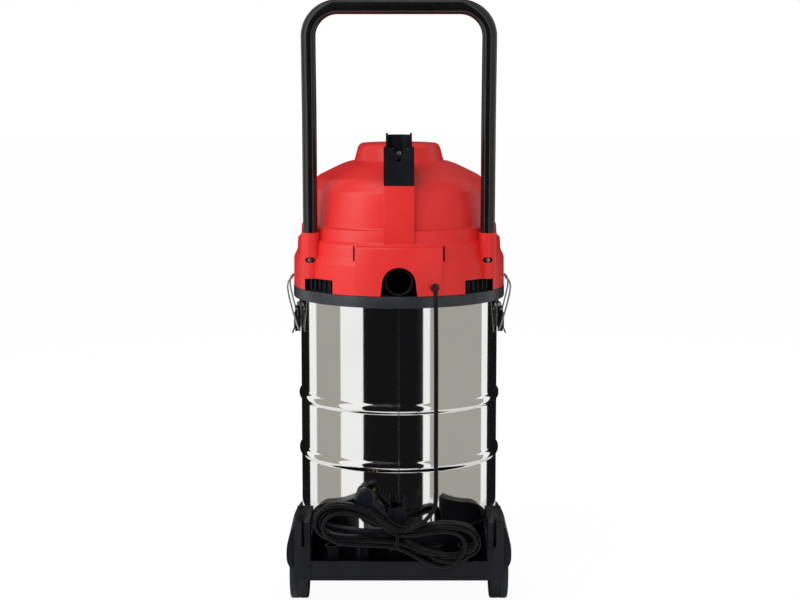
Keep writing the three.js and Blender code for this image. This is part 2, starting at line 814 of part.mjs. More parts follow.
function headCover() {
  const hoodBand = turned([[0, 0], [coverRadius + hoodProud, 0], [coverRadius + hoodProud, hoodHeight], [0, hoodHeight]]);
  const hood = hoodBand.intersect(block([-hoodHalfWidth, hoodHalfWidth], [100, coverRadius + 20], [0, hoodHeight]));
  const rib = block([-ribHalfWidth, ribHalfWidth], [100, ribReach + rearShift], [hoodHeight - 1, ribTop]);
  const hollow = turned([[0, -1], [coverRadius - coverWall, -1], ...coverLine(-coverWall)]);
  const shell = cut(joined(coverSolid(0), hood, rib), hollow);
  const socketRadius = handleTubeRadius + handleSocketWall;
  const sockets = [1, -1].map((s) => {
    return rod(socketRadius, [s * handleX, handleY, socketBottom], [s * handleX, handleAt(socketTop), socketTop], 24);
  });
  const bores = [1, -1].map((s) => {
    const top = socketTop + 30;
    const from = [s * handleX, handleAt(socketBottom + 3), socketBottom + 3];
    return rod(handleTubeRadius + gap, from, [s * handleX, handleAt(top), top], 20);
  });
  const screwSlots = [1, -1].map((s) => {
    const x = s * handleX;
    return block([x - 8, x + 8], [handleY + 6, handleY + 40], [handleScrewRise - 4.5, handleScrewRise + 4.5]);
  });
  const vents = [[ventInner, ventOuter], [-ventOuter, -ventInner]].map((x) => {
    return block(x, [60, coverRadius + 20], [-1, ventHeight]);
  });
  const reliefHole = rod(
    reliefRadius + gap,
    [cordExitX, coverRadius - 50, cordExitRise],
    [cordExitX, coverRadius + 20, cordExitRise],
  );
  const switchHole = block(
    [-switchHalfWidth - 3.5, switchHalfWidth + 3.5],
    [-coverRadius - 20, -coverRadius + 40],
    [switchRise - switchHalfHeight - 3.5, switchRise + switchHalfHeight + 3.5],
  );
  const openings = [archOpening(), ...vents, reliefHole, switchHole];
  const body = cut(joined(cut(shell, ...openings), ...sockets), ...bores, ...screwSlots);
  return part('head_cover', body, redPlastic);
}

function ventGrille(side) {
  const inner = coverRadius - coverWall - 7.5;
  const room = block([ventInner - 3, ventOuter + 3], [60, coverRadius], [gap, ventHeight - 2]);
  const wall = turnedRing([[inner, 0], [inner + 3, 0], [inner + 3, 40], [inner, 40]]).intersect(room);
  const middle = Math.acos((ventInner + ventOuter) / 2 / coverRadius);
  const slats = [-2, -1, 0, 1, 2].map((i) => {
    const slat = new THREE.BoxGeometry(6, 2.2, ventHeight - 4);
    slat.translate(inner + 4, 0, ventHeight / 2).rotateZ(middle + i * 0.07);
    return solid(slat);
  });
  const grille = joined(wall, ...slats);
  return part(`vent_grille_${side}`, side === 'left' ? mirroredX(grille) : grille, blackPlastic);
}

function blowerPort() {
  const reach = portReach + rearShift;
  const flange = block([-archHalfWidth - 5, archHalfWidth + 5], [reach - 26, reach - 23], [gap, archSpring + archRadius]);
  const tube = rod(portRadius, [0, reach - 50, portCentre], [0, reach, portCentre], 24);
  const bore = rod(portRadius - portWall, [0, reach - 51, portCentre], [0, reach + 1, portCentre], 24);
  return part('blower_port', cut(joined(flange, tube), bore), blackPlastic);
}

function tubeHolster() {
  const boreY = holsterBoreY + rearShift;
  const front = holsterReach + rearShift;
  const box = block([gap - ribHalfWidth, ribHalfWidth - gap], [holsterBackY + rearShift, front], [ribTop + gap, holsterTop]);
  const backOuter = rod(holsterBore + 4, [0, boreY, holsterTop - 2], [0, boreY, holsterBackTop], 28);
  const frontHalf = block([-40, 40], [boreY - 2, boreY + 60], [holsterTop, holsterBackTop + 10]);
  const prongs = [1, -1].map((s) => {
    const x = [s * (holsterBore + 0.5), s * (holsterBore + 4)].sort((a, b) => a - b);
    return block(x, [boreY - 6, boreY + 2], [holsterTop - 2, holsterBackTop + 3]);
  });
  const bore = rod(holsterBore, [0, boreY, ribTop + 14], [0, boreY, holsterBackTop + 10], 28);
  const screwHole = rod(2 + gap, [0, front - 20, holsterTop - 9], [0, front + 5, holsterTop - 9], 10);
  const body = joined(box, cut(backOuter, frontHalf), ...prongs);
  return part('tube_holster', cut(body, bore, coverSolid(gap), screwHole), blackPlastic);
}

function holsterScrew() {
  const front = holsterReach + rearShift + gap;
  const rise = holsterTop - 9;
  const head = rod(3.6, [0, front, rise], [0, front + 1.8, rise], 12);
  const shank = rod(2, [0, front - 4.5, rise], [0, front, rise], 8);
  return part('holster_screw', joined(head, shank), zincSteel);
}

// Bent tube handle: two leaning legs, a second bend, and a top bar with round corners.
function handleTube() {
  const foot = [handleX, handleAt(socketBottom + 4), socketBottom + 4];
  const bend = [handleX, handleAt(handleBendRise), handleBendRise];
  const top = [handleX, handleAt(handleBendRise) + handleSweep, handleTopRise];
  const rise = new THREE.Vector3(...top).sub(new THREE.Vector3(...bend)).normalize();
  const cornerStart = new THREE.Vector3(...top).addScaledVector(rise, -handleCorner);
  const leg = [0, 0.25, 0.5, 0.75, 0.93].map((t) => {
    return new THREE.Vector3(...foot).lerp(new THREE.Vector3(...bend), t).toArray();
  });
  const upper = [0.12, 0.5].map((t) => new THREE.Vector3(...bend).lerp(cornerStart, t).toArray());
  const corner = [0, 22.5, 45, 67.5, 90].map((degrees) => {
    const a = THREE.MathUtils.degToRad(degrees);
    const point = cornerStart.clone().addScaledVector(rise, handleCorner * Math.sin(a));
    point.x -= handleCorner * (1 - Math.cos(a));
    return point.toArray();
  });
  const half = [...leg, ...upper, ...corner];
  const other = half.map(([x, y, z]) => [-x, y, z]).reverse();
  const tube = pipe([...half, [0, top[1], top[2]], ...other], handleTubeRadius, 52, 10);
  const holes = [1, -1].map((s) => {
    const from = [s * handleX, handleY - 60, handleScrewRise];
    return rod(2 + gap, from, [s * handleX, handleY + 60, handleScrewRise], 10);
  });
  return part('handle_tube', cut(tube, ...holes), blackEnamel);
}

function handleScrew(side) {
  const x = side === 'left' ? -handleX : handleX;
  const seat = handleAt(handleScrewRise) + handleTubeRadius + gap;
  const head = rod(3.6, [x, seat, handleScrewRise], [x, seat + 2.2, handleScrewRise], 12);
  const shank = rod(2, [x, handleY - 8, handleScrewRise], [x, seat, handleScrewRise], 8);
  return part(`handle_screw_${side}`, joined(head, shank), zincSteel);
}

// Switch on the front of the cover

const switchPivotY = -coverRadius + 3;

function switchHousing() {
  const front = -coverRadius - 1 - switchPlate;
  const [w, h] = [switchHalfWidth, switchHalfHeight];
  const plate = block([-w - 12, w + 12], [front, front + switchPlate], [switchRise - h - 8, switchRise + h + 8]);
  const body = block([-w - 3, w + 3], [front + 1, -coverRadius + 27], [switchRise - h - 3, switchRise + h + 3]);
  const pocket = block(
    [-w - runningGap, w + runningGap],
    [front - 1, -coverRadius + 23],
    [switchRise - h - 1.2, switchRise + h + 1.2],
  );
  return part('switch_housing', cut(joined(plate, body), pocket), blackPlastic);
}

// The rocker stands in its off position, pressed in at the bottom.
function switchRocker() {
  const h = switchHalfHeight;
  const shape = outline([
    [-5.5, h],
    [-4, 0],
    [-5.5, -h],
    [0, -h],
    [12, -h + 4],
    [12, h - 4],
    [0, h],
  ]);
  const rocker = part('switch_rocker', sidePrism(shape, -switchHalfWidth, switchHalfWidth), redPlastic);
  rocker.rotation.x = THREE.MathUtils.degToRad(switchTilt);
  rocker.position.set(0, switchPivotY, switchRise);
  return rocker;
}

// Motor, fan, float and filter

function fanHousing() {
  const top = -basePlate - gap;
  const bottom = top - fanDepth;
  const profile = [
    [fanEye, bottom],
    [fanRadius, bottom],
    [fanRadius, top],
    [fanRadius - fanWall, top],
    [fanRadius - fanWall, bottom + fanWall],
    [fanEye, bottom + fanWall],
  ];
  return part('fan_housing', turnedRing(profile, 24), blackPlastic);
}

const mountTop = 3;

function motorMount() {
  const profile = [[motorFlange - 8, 0], [motorFlange, 0], [motorFlange, mountTop], [motorFlange - 8, mountTop]];
  return part('motor_mount', turnedRing(profile, 24), rubber);
}

function motorHousing() {
  const bottom = mountTop + gap;
  const inner = motorRadius - motorWall;
  const profile = [
    [shaftRadius + 6, bottom],
    [motorFlange, bottom],
    [motorFlange, bottom + 4],
    [motorRadius, bottom + 4],
    [motorRadius, motorHeight],
    [shaftRadius + 10, motorHeight],
    [shaftRadius + 10, motorHeight - 3],
    [inner, motorHeight - 3],
    [inner, bottom + 3],
    [shaftRadius + 6, bottom + 3],
  ];
  return part('motor_housing', turnedRing(profile, 24), blackPlastic);
}

function motorStator() {
  const outer = motorRadius - motorWall - gap;
  const inner = armatureRadius + 1;
  return part('motor_stator', turnedRing([[inner, 30], [outer, 30], [outer, 80], [inner, 80]], 24), laminations);
}

function motorRotor() {
  const profile = [
    [0, -basePlate - fanDepth + 7],
    [shaftRadius, -basePlate - fanDepth + 7],
    [shaftRadius, 28],
    [armatureRadius, 28],
    [armatureRadius, 82],
    [shaftRadius, 82],
    [shaftRadius, 90],
    [shaftRadius + 9, 90],
    [shaftRadius + 9, 102],
    [shaftRadius, 102],
    [shaftRadius, motorHeight - 1],
    [0, motorHeight - 1],
  ];
  return part('motor_rotor', turned(profile, 20), laminations);
}

function impeller() {
  const low = -basePlate - fanDepth + 10;
  const high = low + 20;
  const bore = shaftRadius + gap;
  const lowerDisc = turnedRing([[22, low], [impellerRadius, low], [impellerRadius, low + 1.6], [22, low + 1.6]], 24);
  const upperDisc = turnedRing(
    [[bore, high], [impellerRadius, high], [impellerRadius, high + 1.6], [12, high + 1.6], [12, high + 8], [bore, high + 8]],
    24,
  );
  const blades = [0, 1, 2, 3, 4, 5].map((i) => {
    const blade = new THREE.BoxGeometry(impellerRadius - 24, 1.6, high - low + 1);
    blade.rotateZ(0.5).translate(impellerRadius / 2 + 9, -6, (low + high) / 2 + 0.8);
    return solid(blade.rotateZ((i * Math.PI) / 3));
  });
  const reach = turned([[0, low - 5], [impellerRadius, low - 5], [impellerRadius, high + 20], [0, high + 20]], 24);
  return part('impeller', joined(lowerDisc, upperDisc, ...blades).intersect(reach), zincSteel);
}

const cageTop = -basePlate - gap - fanDepth - gap;
const cageBottom = cageTop - cageDepth;

function floatCage() {
  const inner = cageRadius - cageWall;
  const shell = turned([
    [0, cageBottom],
    [cageRadius, cageBottom],
    [cageRadius, cageTop - 3],
    [cageRadius + 14, cageTop - 3],
    [cageRadius + 14, cageTop],
    [fanEye, cageTop],
    [fanEye, cageTop - 3],
    [inner, cageTop - 3],
    [inner, cageBottom + 3],
    [0, cageBottom + 3],
  ], 24);
  const windows = [0, 1, 2].map((i) => {
    const slot = new THREE.BoxGeometry(2 * cageRadius + 10, 20, cageDepth - 26);
    return solid(slot.translate(0, 0, (cageTop + cageBottom) / 2).rotateZ((i * Math.PI) / 3));
  });
  return part('float_cage', cut(shell, ...windows), blackPlastic);
}

function float() {
  const bottom = cageBottom + 3 + gap;
  const profile = [
    [0, bottom + 3],
    [floatRadius - 3, bottom + 3],
    [floatRadius - 3, bottom],
    [floatRadius, bottom],
    [floatRadius, bottom + floatHeight - 8],
    [floatRadius - 8, bottom + floatHeight],
    [0, bottom + floatHeight],
  ];
  return part('float', turned(profile, 24), filterPaper);
}

const filterTop = cageTop - 3 - gap;
const filterBottom = filterTop - filterLength;

function cartridgeFilter() {
  const pleats = Array.from({ length: 2 * filterPleats }, (_, i) => {
    const a = (Math.PI * i) / filterPleats;
    const r = i % 2 === 0 ? filterOuter : filterOuter - 11;
    return [r * Math.cos(a), r * Math.sin(a)];
  });
  const shape = outline(pleats);
  const body = solid(extruded(shape, filterLength).translate(0, 0, filterBottom));
  const low = filterBottom - 1;
  const bore = turned([[0, low], [filterInner, low], [filterInner, filterTop + 1], [0, filterTop + 1]], 24);
  return part('cartridge_filter', cut(body, bore), filterPaper);
}

function filterRetainer() {
  const top = filterBottom - gap;
  const bottom = top - retainerThickness;
  const profile = [
    [0, bottom - 20],
    [14, bottom - 20],
    [16, bottom - 16],
    [16, bottom],
    [filterOuter - 6, bottom],
    [filterOuter - 6, top],
    [0, top],
  ];
  return part('filter_retainer', turned(profile, 24), blackPlastic);
}

// Mains cord: strain relief, free cord, hank with its tie, and plug

function strainRelief() {
  const reach = reliefReach + rearShift;
  const y = coverRadius - 16;
  const barrel = rod(reliefRadius, [cordExitX, y - 12, cordExitRise], [cordExitX, y + 13, cordExitRise], 18);
  const nose = taper(reliefRadius - 0.6, cordRadius + 0.6, [cordExitX, y + 12, cordExitRise], [cordExitX, reach, cordExitRise], 14);
  return part('strain_relief', joined(barrel, nose), rubber);
}

const hankBack = 210.3;
const hankFront = 243.3;
const tieMiddle = 3;

// The free cord, from the strain relief down to the hank
const cordRoute = [
  [-61, 198.3, 551],
  [-61, 203, 551],
  [-61, 215.6, 548.5],
  [-61, 226.3, 541.3],
  [-61, 233.5, 530.6],
  [-61.2, 236, 518],
  [-61.5, 235.8, 490],
  [-61.8, 234.5, 440],
  [-62, 233, 380],
  [-62, 232, 320],
  [-62, 231.5, 270],
  [-62.3, 231.5, 230],
  [-62, 231.8, 200],
  [-59, 232.2, 180],
  [-51, 232.8, 164],
  [-37, 233.5, 151],
];

function hank() {
  const lobes = [
    [146, 156],
    [142, 172],
    [128, 185],
    [104, 195],
    [78, 192],
    [50, 183],
    [18, 160],
    [10, 149],
    [-4, 149],
    [-35, 151],
    [-80, 154],
    [-125, 154],
    [-142, 140],
    [-144, 124],
    [-134, 104],
    [-110, 95],
    [-76, 95],
    [-48, 100],
    [-10, 113],
    [28, 121],
    [91, 121],
    [116, 126],
    [138, 140],
  ];
  const strayLoop = [
    [-30, 112],
    [-34, 99],
    [-52, 85],
    [-68, 76],
    [-84, 76],
    [-100, 84],
    [-112, 100],
    [-112, 112],
  ];
  const body = joined(
    frontPrism(outline(lobes), hankBack, hankFront),
    frontPrism(outline(strayLoop), trayReach + gap, hankFront),
  );
  const tieRoom = block([tieMiddle - 5, tieMiddle + 5], [hankFront - 3, hankFront + 1], [100, 160]);
  const end = new THREE.Vector3(...cordRoute.at(-1));
  const before = new THREE.Vector3(...cordRoute.at(-2));
  const out = before.clone().sub(end).normalize();
  const seat = end.clone().addScaledVector(out, -gap);
  const cordRoom = rod(cordRadius + 1, seat.toArray(), seat.clone().addScaledVector(out, 30).toArray(), 12);
  return part('cord_hank', cut(body, tieRoom, cordRoom, ...plugBody(gap)), cordCover);
}

function hankTie() {
  const thickness = 2.1;
  const [back, front] = [hankBack - gap, hankFront - 3 + gap];
  const [low, high] = [112.5, 149.3];
  const outer = block(
    [tieMiddle - 4, tieMiddle + 4],
    [back - thickness, front + thickness],
    [low - thickness, high + thickness],
  );
  const inner = block([tieMiddle - 6, tieMiddle + 6], [back, front], [low, high]);
  return part('cord_tie', cut(outer, inner), rubber);
}

// An angled plug: the cord enters the side of a round body, whose pins point at the drum.
const plugTip = new THREE.Vector3(25, 207, 166);
const plugMiddle = new THREE.Vector3(57, 197, 193);
const plugAxis = plugMiddle.clone().sub(plugTip).normalize();
const plugFacing = new THREE.Vector3(0, -1, 0).projectOnPlane(plugAxis).normalize();
const pinLine = plugAxis.clone().cross(plugFacing);

function plugBody(clearance) {
  const reach = plugThickness / 2 + clearance;
  const back = plugMiddle.clone().addScaledVector(plugFacing, -reach);
  const face = plugMiddle.clone().addScaledVector(plugFacing, reach);
  const start = plugTip.clone().addScaledVector(plugAxis, -clearance);
  const sleeve = taper(5 + clearance, 8 + clearance, start.toArray(), plugMiddle.toArray(), 16);
  return [rod(plugRadius + clearance, back.toArray(), face.toArray(), 28), sleeve];
}

function plug() {
  const pins = [9.5, -9.5].map((side) => {
    const root = plugMiddle.clone().addScaledVector(pinLine, side);
    const tip = root.clone().addScaledVector(plugFacing, plugThickness / 2 + pinLength);
    return rod(2.4, root.toArray(), tip.toArray(), 10);
  });
  return part('plug', joined(...plugBody(0), ...pins), blackPlastic);
}

// Whole vacuum

function latches() {
  const right = latch('right');
  const left = latch('left');
  left.rotation.z = Math.PI;
  return assembly(right, left);
}

function head() {
  const unit = assembly(
    headBase(),
    headSeal(),
    headCover(),
    ventGrille('right'),
    ventGrille('left'),
    blowerPort(),
    tubeHolster(),
    holsterScrew(),
    handleTube(),
    handleScrew('right'),
    handleScrew('left'),
    switchHousing(),
    switchRocker(),
    fanHousing(),
    motorMount(),
    motorHousing(),
    motorStator(),
    motorRotor(),
    impeller(),
    floatCage(),
    float(),
    cartridgeFilter(),
    filterRetainer(),
    strainRelief(),
  );
  unit.position.z = headZ;
  return unit;
}

const vacuum = assembly(
  drum(),
  inlet(),
  latches(),
  dolly(),
  tubeHook(),
  rearAxle(),
  rearWheel('right'),
  rearWheel('left'),
  caster('right'),
  caster('left'),
  head(),
  part('cord', pipe(cordRoute, cordRadius, 44, 8), cordCover),
  hank(),
  hankTie(),
  plug(),
);

export default vacuum;
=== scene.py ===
import math

import bpy
from mathutils import Matrix, Vector
from mathutils.kdtree import KDTree


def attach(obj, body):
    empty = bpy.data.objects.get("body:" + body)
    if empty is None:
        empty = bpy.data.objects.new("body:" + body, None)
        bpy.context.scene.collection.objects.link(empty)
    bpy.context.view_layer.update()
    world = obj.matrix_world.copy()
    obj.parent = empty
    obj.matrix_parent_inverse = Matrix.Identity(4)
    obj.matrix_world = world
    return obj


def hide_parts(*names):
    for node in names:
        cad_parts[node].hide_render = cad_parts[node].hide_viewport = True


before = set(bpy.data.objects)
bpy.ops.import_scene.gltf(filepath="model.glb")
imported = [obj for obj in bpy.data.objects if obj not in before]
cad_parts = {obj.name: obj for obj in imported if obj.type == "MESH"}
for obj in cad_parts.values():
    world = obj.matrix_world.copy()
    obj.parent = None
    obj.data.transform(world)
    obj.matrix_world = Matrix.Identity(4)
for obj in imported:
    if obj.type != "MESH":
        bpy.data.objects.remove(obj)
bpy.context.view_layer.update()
bpy.ops.object.select_all(action="DESELECT")
mm = 0.001

# Camera. It stands behind the vacuum, a little below the handle's height, and looks
# slightly down.
camera_data = bpy.data.cameras.new("camera")
camera_data.lens = 78.3
camera_data.sensor_width = 36
camera_data.clip_end = 50
camera = bpy.data.objects.new("camera", camera_data)
camera.location = (-0.0018, 3.085, 0.920)
camera.rotation_euler = (math.radians(82.37), 0, math.radians(180))
bpy.context.scene.collection.objects.link(camera)
bpy.context.scene.camera = camera
bpy.context.scene.view_settings.view_transform = "Standard"

# Studio. A white floor and an even white room, with tall cards round the vacuum that
# only its polished surfaces see: dark behind the camera, white and grey to the sides.
world = bpy.data.worlds.new("white_room")
world.use_nodes = True
room = world.node_tree.nodes["Background"]
room.inputs["Color"].default_value = (1, 1, 1, 1)
room.inputs["Strength"].default_value = 0.62
seen = world.node_tree.nodes.new("ShaderNodeBackground")
seen.inputs["Color"].default_value = (1, 1, 1, 1)
seen.inputs["Strength"].default_value = 1.0
ray = world.node_tree.nodes.new("ShaderNodeLightPath")
choice = world.node_tree.nodes.new("ShaderNodeMixShader")
world.node_tree.links.new(ray.outputs["Is Camera Ray"], choice.inputs["Fac"])
world.node_tree.links.new(room.outputs["Background"], choice.inputs[1])
world.node_tree.links.new(seen.outputs["Background"], choice.inputs[2])
world.node_tree.links.new(choice.outputs["Shader"], world.node_tree.nodes["World Output"].inputs["Surface"])
bpy.context.scene.world = world


def stage_material(name, colour, glow):
    material = bpy.data.materials.new(name)
    material.use_nodes = True
    shader = material.node_tree.nodes["Principled BSDF"]
    shader.inputs["Base Color"].default_value = (*(colour if glow == 0 else (0, 0, 0)), 1)
    shader.inputs["Roughness"].default_value = 0.9
    shader.inputs["Specular IOR Level"].default_value = 0.0
    shader.inputs["Emission Color"].default_value = (*colour, 1)
    shader.inputs["Emission Strength"].default_value = glow
    return material


bpy.ops.mesh.primitive_plane_add(size=40, location=(0, 0, 0))
floor = bpy.context.object
floor.name = "floor"
floor_paint = stage_material("pale_floor", (0.93, 0.93, 0.92), 0.0)
tree = floor_paint.node_tree
glow = tree.nodes.new("ShaderNodeEmission")
glow.inputs["Strength"].default_value = 1.02
blend = tree.nodes.new("ShaderNodeMixShader")
floor_ray = tree.nodes.new("ShaderNodeLightPath")
share = tree.nodes.new("ShaderNodeMapRange")
share.inputs["To Max"].default_value = 0.93
tree.links.new(floor_ray.outputs["Is Camera Ray"], share.inputs["Value"])
tree.links.new(share.outputs["Result"], blend.inputs["Fac"])
tree.links.new(tree.nodes["Principled BSDF"].outputs["BSDF"], blend.inputs[1])
tree.links.new(glow.outputs["Emission"], blend.inputs[2])
tree.links.new(blend.outputs["Shader"], tree.nodes["Material Output"].inputs["Surface"])
floor.data.materials.append(floor_paint)

white_card = stage_material("white_card", (1, 1, 1), 1.0)
grey_card = stage_material("grey_card", (0.41, 0.395, 0.355), 1.0)
dark_card = stage_material("dark_card", (0.008, 0.008, 0.009), 1.0)
card_radius, card_top = 0.62, 2.4
# Each card runs from one direction to the next, in degrees from +Y towards +X, with the
# height of its lower edge at both.
cards = [
    (-24, 36, 0.0, 0.0, dark_card),
    (36, 62, 0.0, 0.02, white_card),
    (62, 99, 0.03, 0.03, grey_card),
    (99, 115, 0.03, 0.03, white_card),
    (115, 180, 0.0, 0.0, dark_card),
    (180, 248, 0.0, 0.0, dark_card),
    (248, 261, 0.03, 0.03, white_card),
    (261, 329, 0.03, 0.072, grey_card),
    (329, 336, 0.07, 0.04, white_card),
]
for start, end, low_start, low_end, paint in cards:
    steps = max(2, round((end - start) / 4))
    corners = []
    for i in range(steps + 1):
        a = math.radians(start + (end - start) * i / steps)
        low = low_start + (low_end - low_start) * i / steps
        corners += [(card_radius * math.sin(a), card_radius * math.cos(a), z) for z in (low, card_top)]
    faces = [(2 * i, 2 * i + 1, 2 * i + 3, 2 * i + 2) for i in range(steps)]
    card_mesh = bpy.data.meshes.new("card")
    card_mesh.from_pydata(corners, [], faces)
    card = bpy.data.objects.new("card", card_mesh)
    card_mesh.materials.append(paint)
    bpy.context.scene.collection.objects.link(card)
    card.visible_camera = False
    card.visible_diffuse = False
    card.visible_shadow = False
    card.visible_transmission = False

for name, place, aim, size, power in [
    ("lamp_over", (0.9, 1.8, 2.6), (0, 0, 0.6), 1.4, 22),
    ("lamp_side", (2.0, 1.3, 1.5), (0, 0, 0.6), 1.2, 16),
    ("lamp_front", (-0.6, -2.2, 2.0), (0, 0, 0.5), 1.6, 14),
]:
    light = bpy.data.lights.new(name, "AREA")
    light.energy = power
    light.size = size
    lamp = bpy.data.objects.new(name, light)
    lamp.location = place
    lamp.rotation_euler = (Vector(aim) - Vector(place)).to_track_quat("-Z", "Y").to_euler()
    bpy.context.scene.collection.objects.link(lamp)

# Mains cord. A black round PVC cord of 7.5 mm leaves the head behind, drops into the
# tray and is wound into a long hank of eight turns, gathered by a tie at its middle.
# The turns are laid one behind another and then settle against each other.


def finish(name, colour, second, rough, metal=0.0, grain=300.0, bump=0.08, speckle=40.0):
    """A surface that varies between two colours and in gloss, with a fine grain."""
    material = bpy.data.materials.new(name)
    material.use_nodes = True
    nodes, links = material.node_tree.nodes, material.node_tree.links
    shader = nodes["Principled BSDF"]
    place = nodes.new("ShaderNodeTexCoord")
    cloud = nodes.new("ShaderNodeTexNoise")
    cloud.inputs["Scale"].default_value = speckle
    cloud.inputs["Detail"].default_value = 5
    links.new(place.outputs["Object"], cloud.inputs["Vector"])
    ramp = nodes.new("ShaderNodeValToRGB")
    ramp.color_ramp.elements[0].position = 0.3
    ramp.color_ramp.elements[0].color = (*colour, 1)
    ramp.color_ramp.elements[1].position = 0.75
    ramp.color_ramp.elements[1].color = (*second, 1)
    links.new(cloud.outputs["Fac"], ramp.inputs["Fac"])
    links.new(ramp.outputs["Color"], shader.inputs["Base Color"])
    gloss = nodes.new("ShaderNodeMapRange")
    gloss.inputs["To Min"].default_value = rough[0]
    gloss.inputs["To Max"].default_value = rough[1]
    links.new(cloud.outputs["Fac"], gloss.inputs["Value"])
    links.new(gloss.outputs["Result"], shader.inputs["Roughness"])
    fine = nodes.new("ShaderNodeTexNoise")
    fine.inputs["Scale"].default_value = grain
    fine.inputs["Detail"].default_value = 3
    links.new(place.outputs["Object"], fine.inputs["Vector"])
    relief = nodes.new("ShaderNodeBump")
    relief.inputs["Strength"].default_value = bump
    relief.inputs["Distance"].default_value = 0.0004
    links.new(fine.outputs["Fac"], relief.inputs["Height"])
    links.new(relief.outputs["Normal"], shader.inputs["Normal"])
    shader.inputs["Metallic"].default_value = metal
    return material


cord_pvc = finish("cord_pvc", (0.0040, 0.0040, 0.0050), (0.0075, 0.0075, 0.0090), (0.20, 0.30), bump=0.04)
cord_pvc.node_tree.nodes["Principled BSDF"].inputs["Specular IOR Level"].default_value = 0.24
cord_radius = 3.75 * mm
free_cord = [
    (-61, 198.3, 551),
    (-61, 203, 551),
    (-61, 215.6, 548.5),
    (-61, 226.3, 541.3),
    (-61, 233.5, 530.6),
    (-61.2, 236, 518),
    (-61.5, 235.8, 490),
    (-61.8, 234.5, 440),
    (-62, 233, 380),
    (-62, 232, 320),
    (-62, 231.5, 270),
    (-62.3, 231.5, 230),
    (-62, 231.8, 200),
    (-59, 232.2, 180),
    (-51, 232.8, 164),
    (-39, 233.4, 152.5),
    (-24, 234, 144),
]
# Each turn of the hank: its distance behind the front turn, the height and reach of its
# fold on the plug's side, and the height and reach of its fold on the other side.
turns = [
    (238.5, 181, 125, 138, None, None, None),
    (235.2, 192, 128, 149, 152, 98, -139),
    (231.8, 185, 131, 142, 153, 97, -145),
    (228.4, 194, 126, 149, 150, 96, -138),
    (225.0, 187, 131, 143, 153, 97, -145),
    (221.6, 191, 126, 147, 151, 96, -139),
    (218.3, 185, 129, 141, 153, 97, -144),
    (215.0, 191, 127, 148, 151, 97, -137),
]
hank_middle = 3.0
hank_level = 130.0
stray = [
    (-12, 112.5), (-30, 101), (-48, 88.5), (-66, 79.8), (-84, 80), (-99, 89), (-110, 103),
    (-119, 118), (-120, 133), (-108, 145), (-86, 149), (-58, 148), (-32, 142.5),
]


def fold(end, top, bottom, side):
    """Half a turn round the end of the hank, from its top run to its bottom run."""
    radius = (top - bottom) / 2
    middle = end - side * radius
    level = (top + bottom) / 2
    half = [math.radians(a) for a in (90, 60, 30, 0, -30, -60, -90)]
    return [(middle + side * radius * math.cos(a), level + radius * math.sin(a)) for a in half]


def hank_route():
    route = []
    for number, (depth, top, bottom, end, far_top, far_bottom, far_end) in enumerate(turns):
        rise = 9 if number % 2 == 0 else 3.5
        crown = end - (top - bottom) / 2
        near = [(hank_middle, hank_level + rise)]
        for share, lift in ((0.15, 0.24), (0.42, 0.74), (0.72, 0.96)):
            x = hank_middle + share * (crown - hank_middle)
            near.append((x, hank_level + rise + lift * (top - hank_level - rise)))
        near += fold(end, top, bottom, 1)
        near += [(72, bottom), (40, bottom - 0.5)]
        near += [(20, hank_level - rise + 1), (hank_middle, hank_level - rise)]
        if far_end is None:
            far = list(stray)
        else:
            far = [(-14, hank_level - rise - 3), (-42, far_bottom + 9), (-76, far_bottom + 2)]
            far += reversed(fold(far_end, far_top, far_bottom, -1))
            far += [(-76, far_top + 0.5), (-44, far_top - 3), (-18, hank_level + 12)]
        following = turns[number + 1][0] if number + 1 < len(turns) else 214.4
        for place, (x, z) in enumerate(near + far):
            late = max(0, place - len(near)) / len(far)
            y = depth + late * (following - depth)
            if far_end is None and z < 98:
                y = max(y, 239.3)
            route.append(Vector((x, y, z)))
    return route


def smooth_line(points, step):
    """Points a step apart on a smooth curve through the given points."""
    line = []
    ends = [points[0] * 2 - points[1], *points, points[-1] * 2 - points[-2]]
    for a, b, c, d in zip(ends, ends[1:], ends[2:], ends[3:]):
        count = max(1, math.ceil((c - b).length / 1.0))
        for i in range(count):
            t = i / count
            squared, cubed = (2 * a - 5 * b + 4 * c - d) * t**2, (3 * b - a - 3 * c + d) * t**3
            line.append(0.5 * (2 * b + (c - a) * t + squared + cubed))
    line.append(points[-1])
    spaced = [line[0]]
    gone = 0.0
    for a, b in zip(line, line[1:]):
        gone += (b - a).length
        if gone >= step:
            spaced.append(b)
            gone = 0.0
    if gone < step / 2:
        spaced.pop()
    spaced.append(line[-1])
    return spaced


plug_tip = Vector((25, 207, 166))
plug_middle = Vector((57, 197, 193))
plug_axis = (plug_middle - plug_tip).normalized()
last_run = [Vector((2, 214.4, 141.5)), Vector((11, 211.8, 152.2)), plug_tip - plug_axis * 6, plug_tip]
whole_route = [Vector(p) for p in free_cord] + hank_route() + last_run
cord_line = smooth_line(whole_route, 5.0)


lip_top, lip_front = 96.6, 239.2


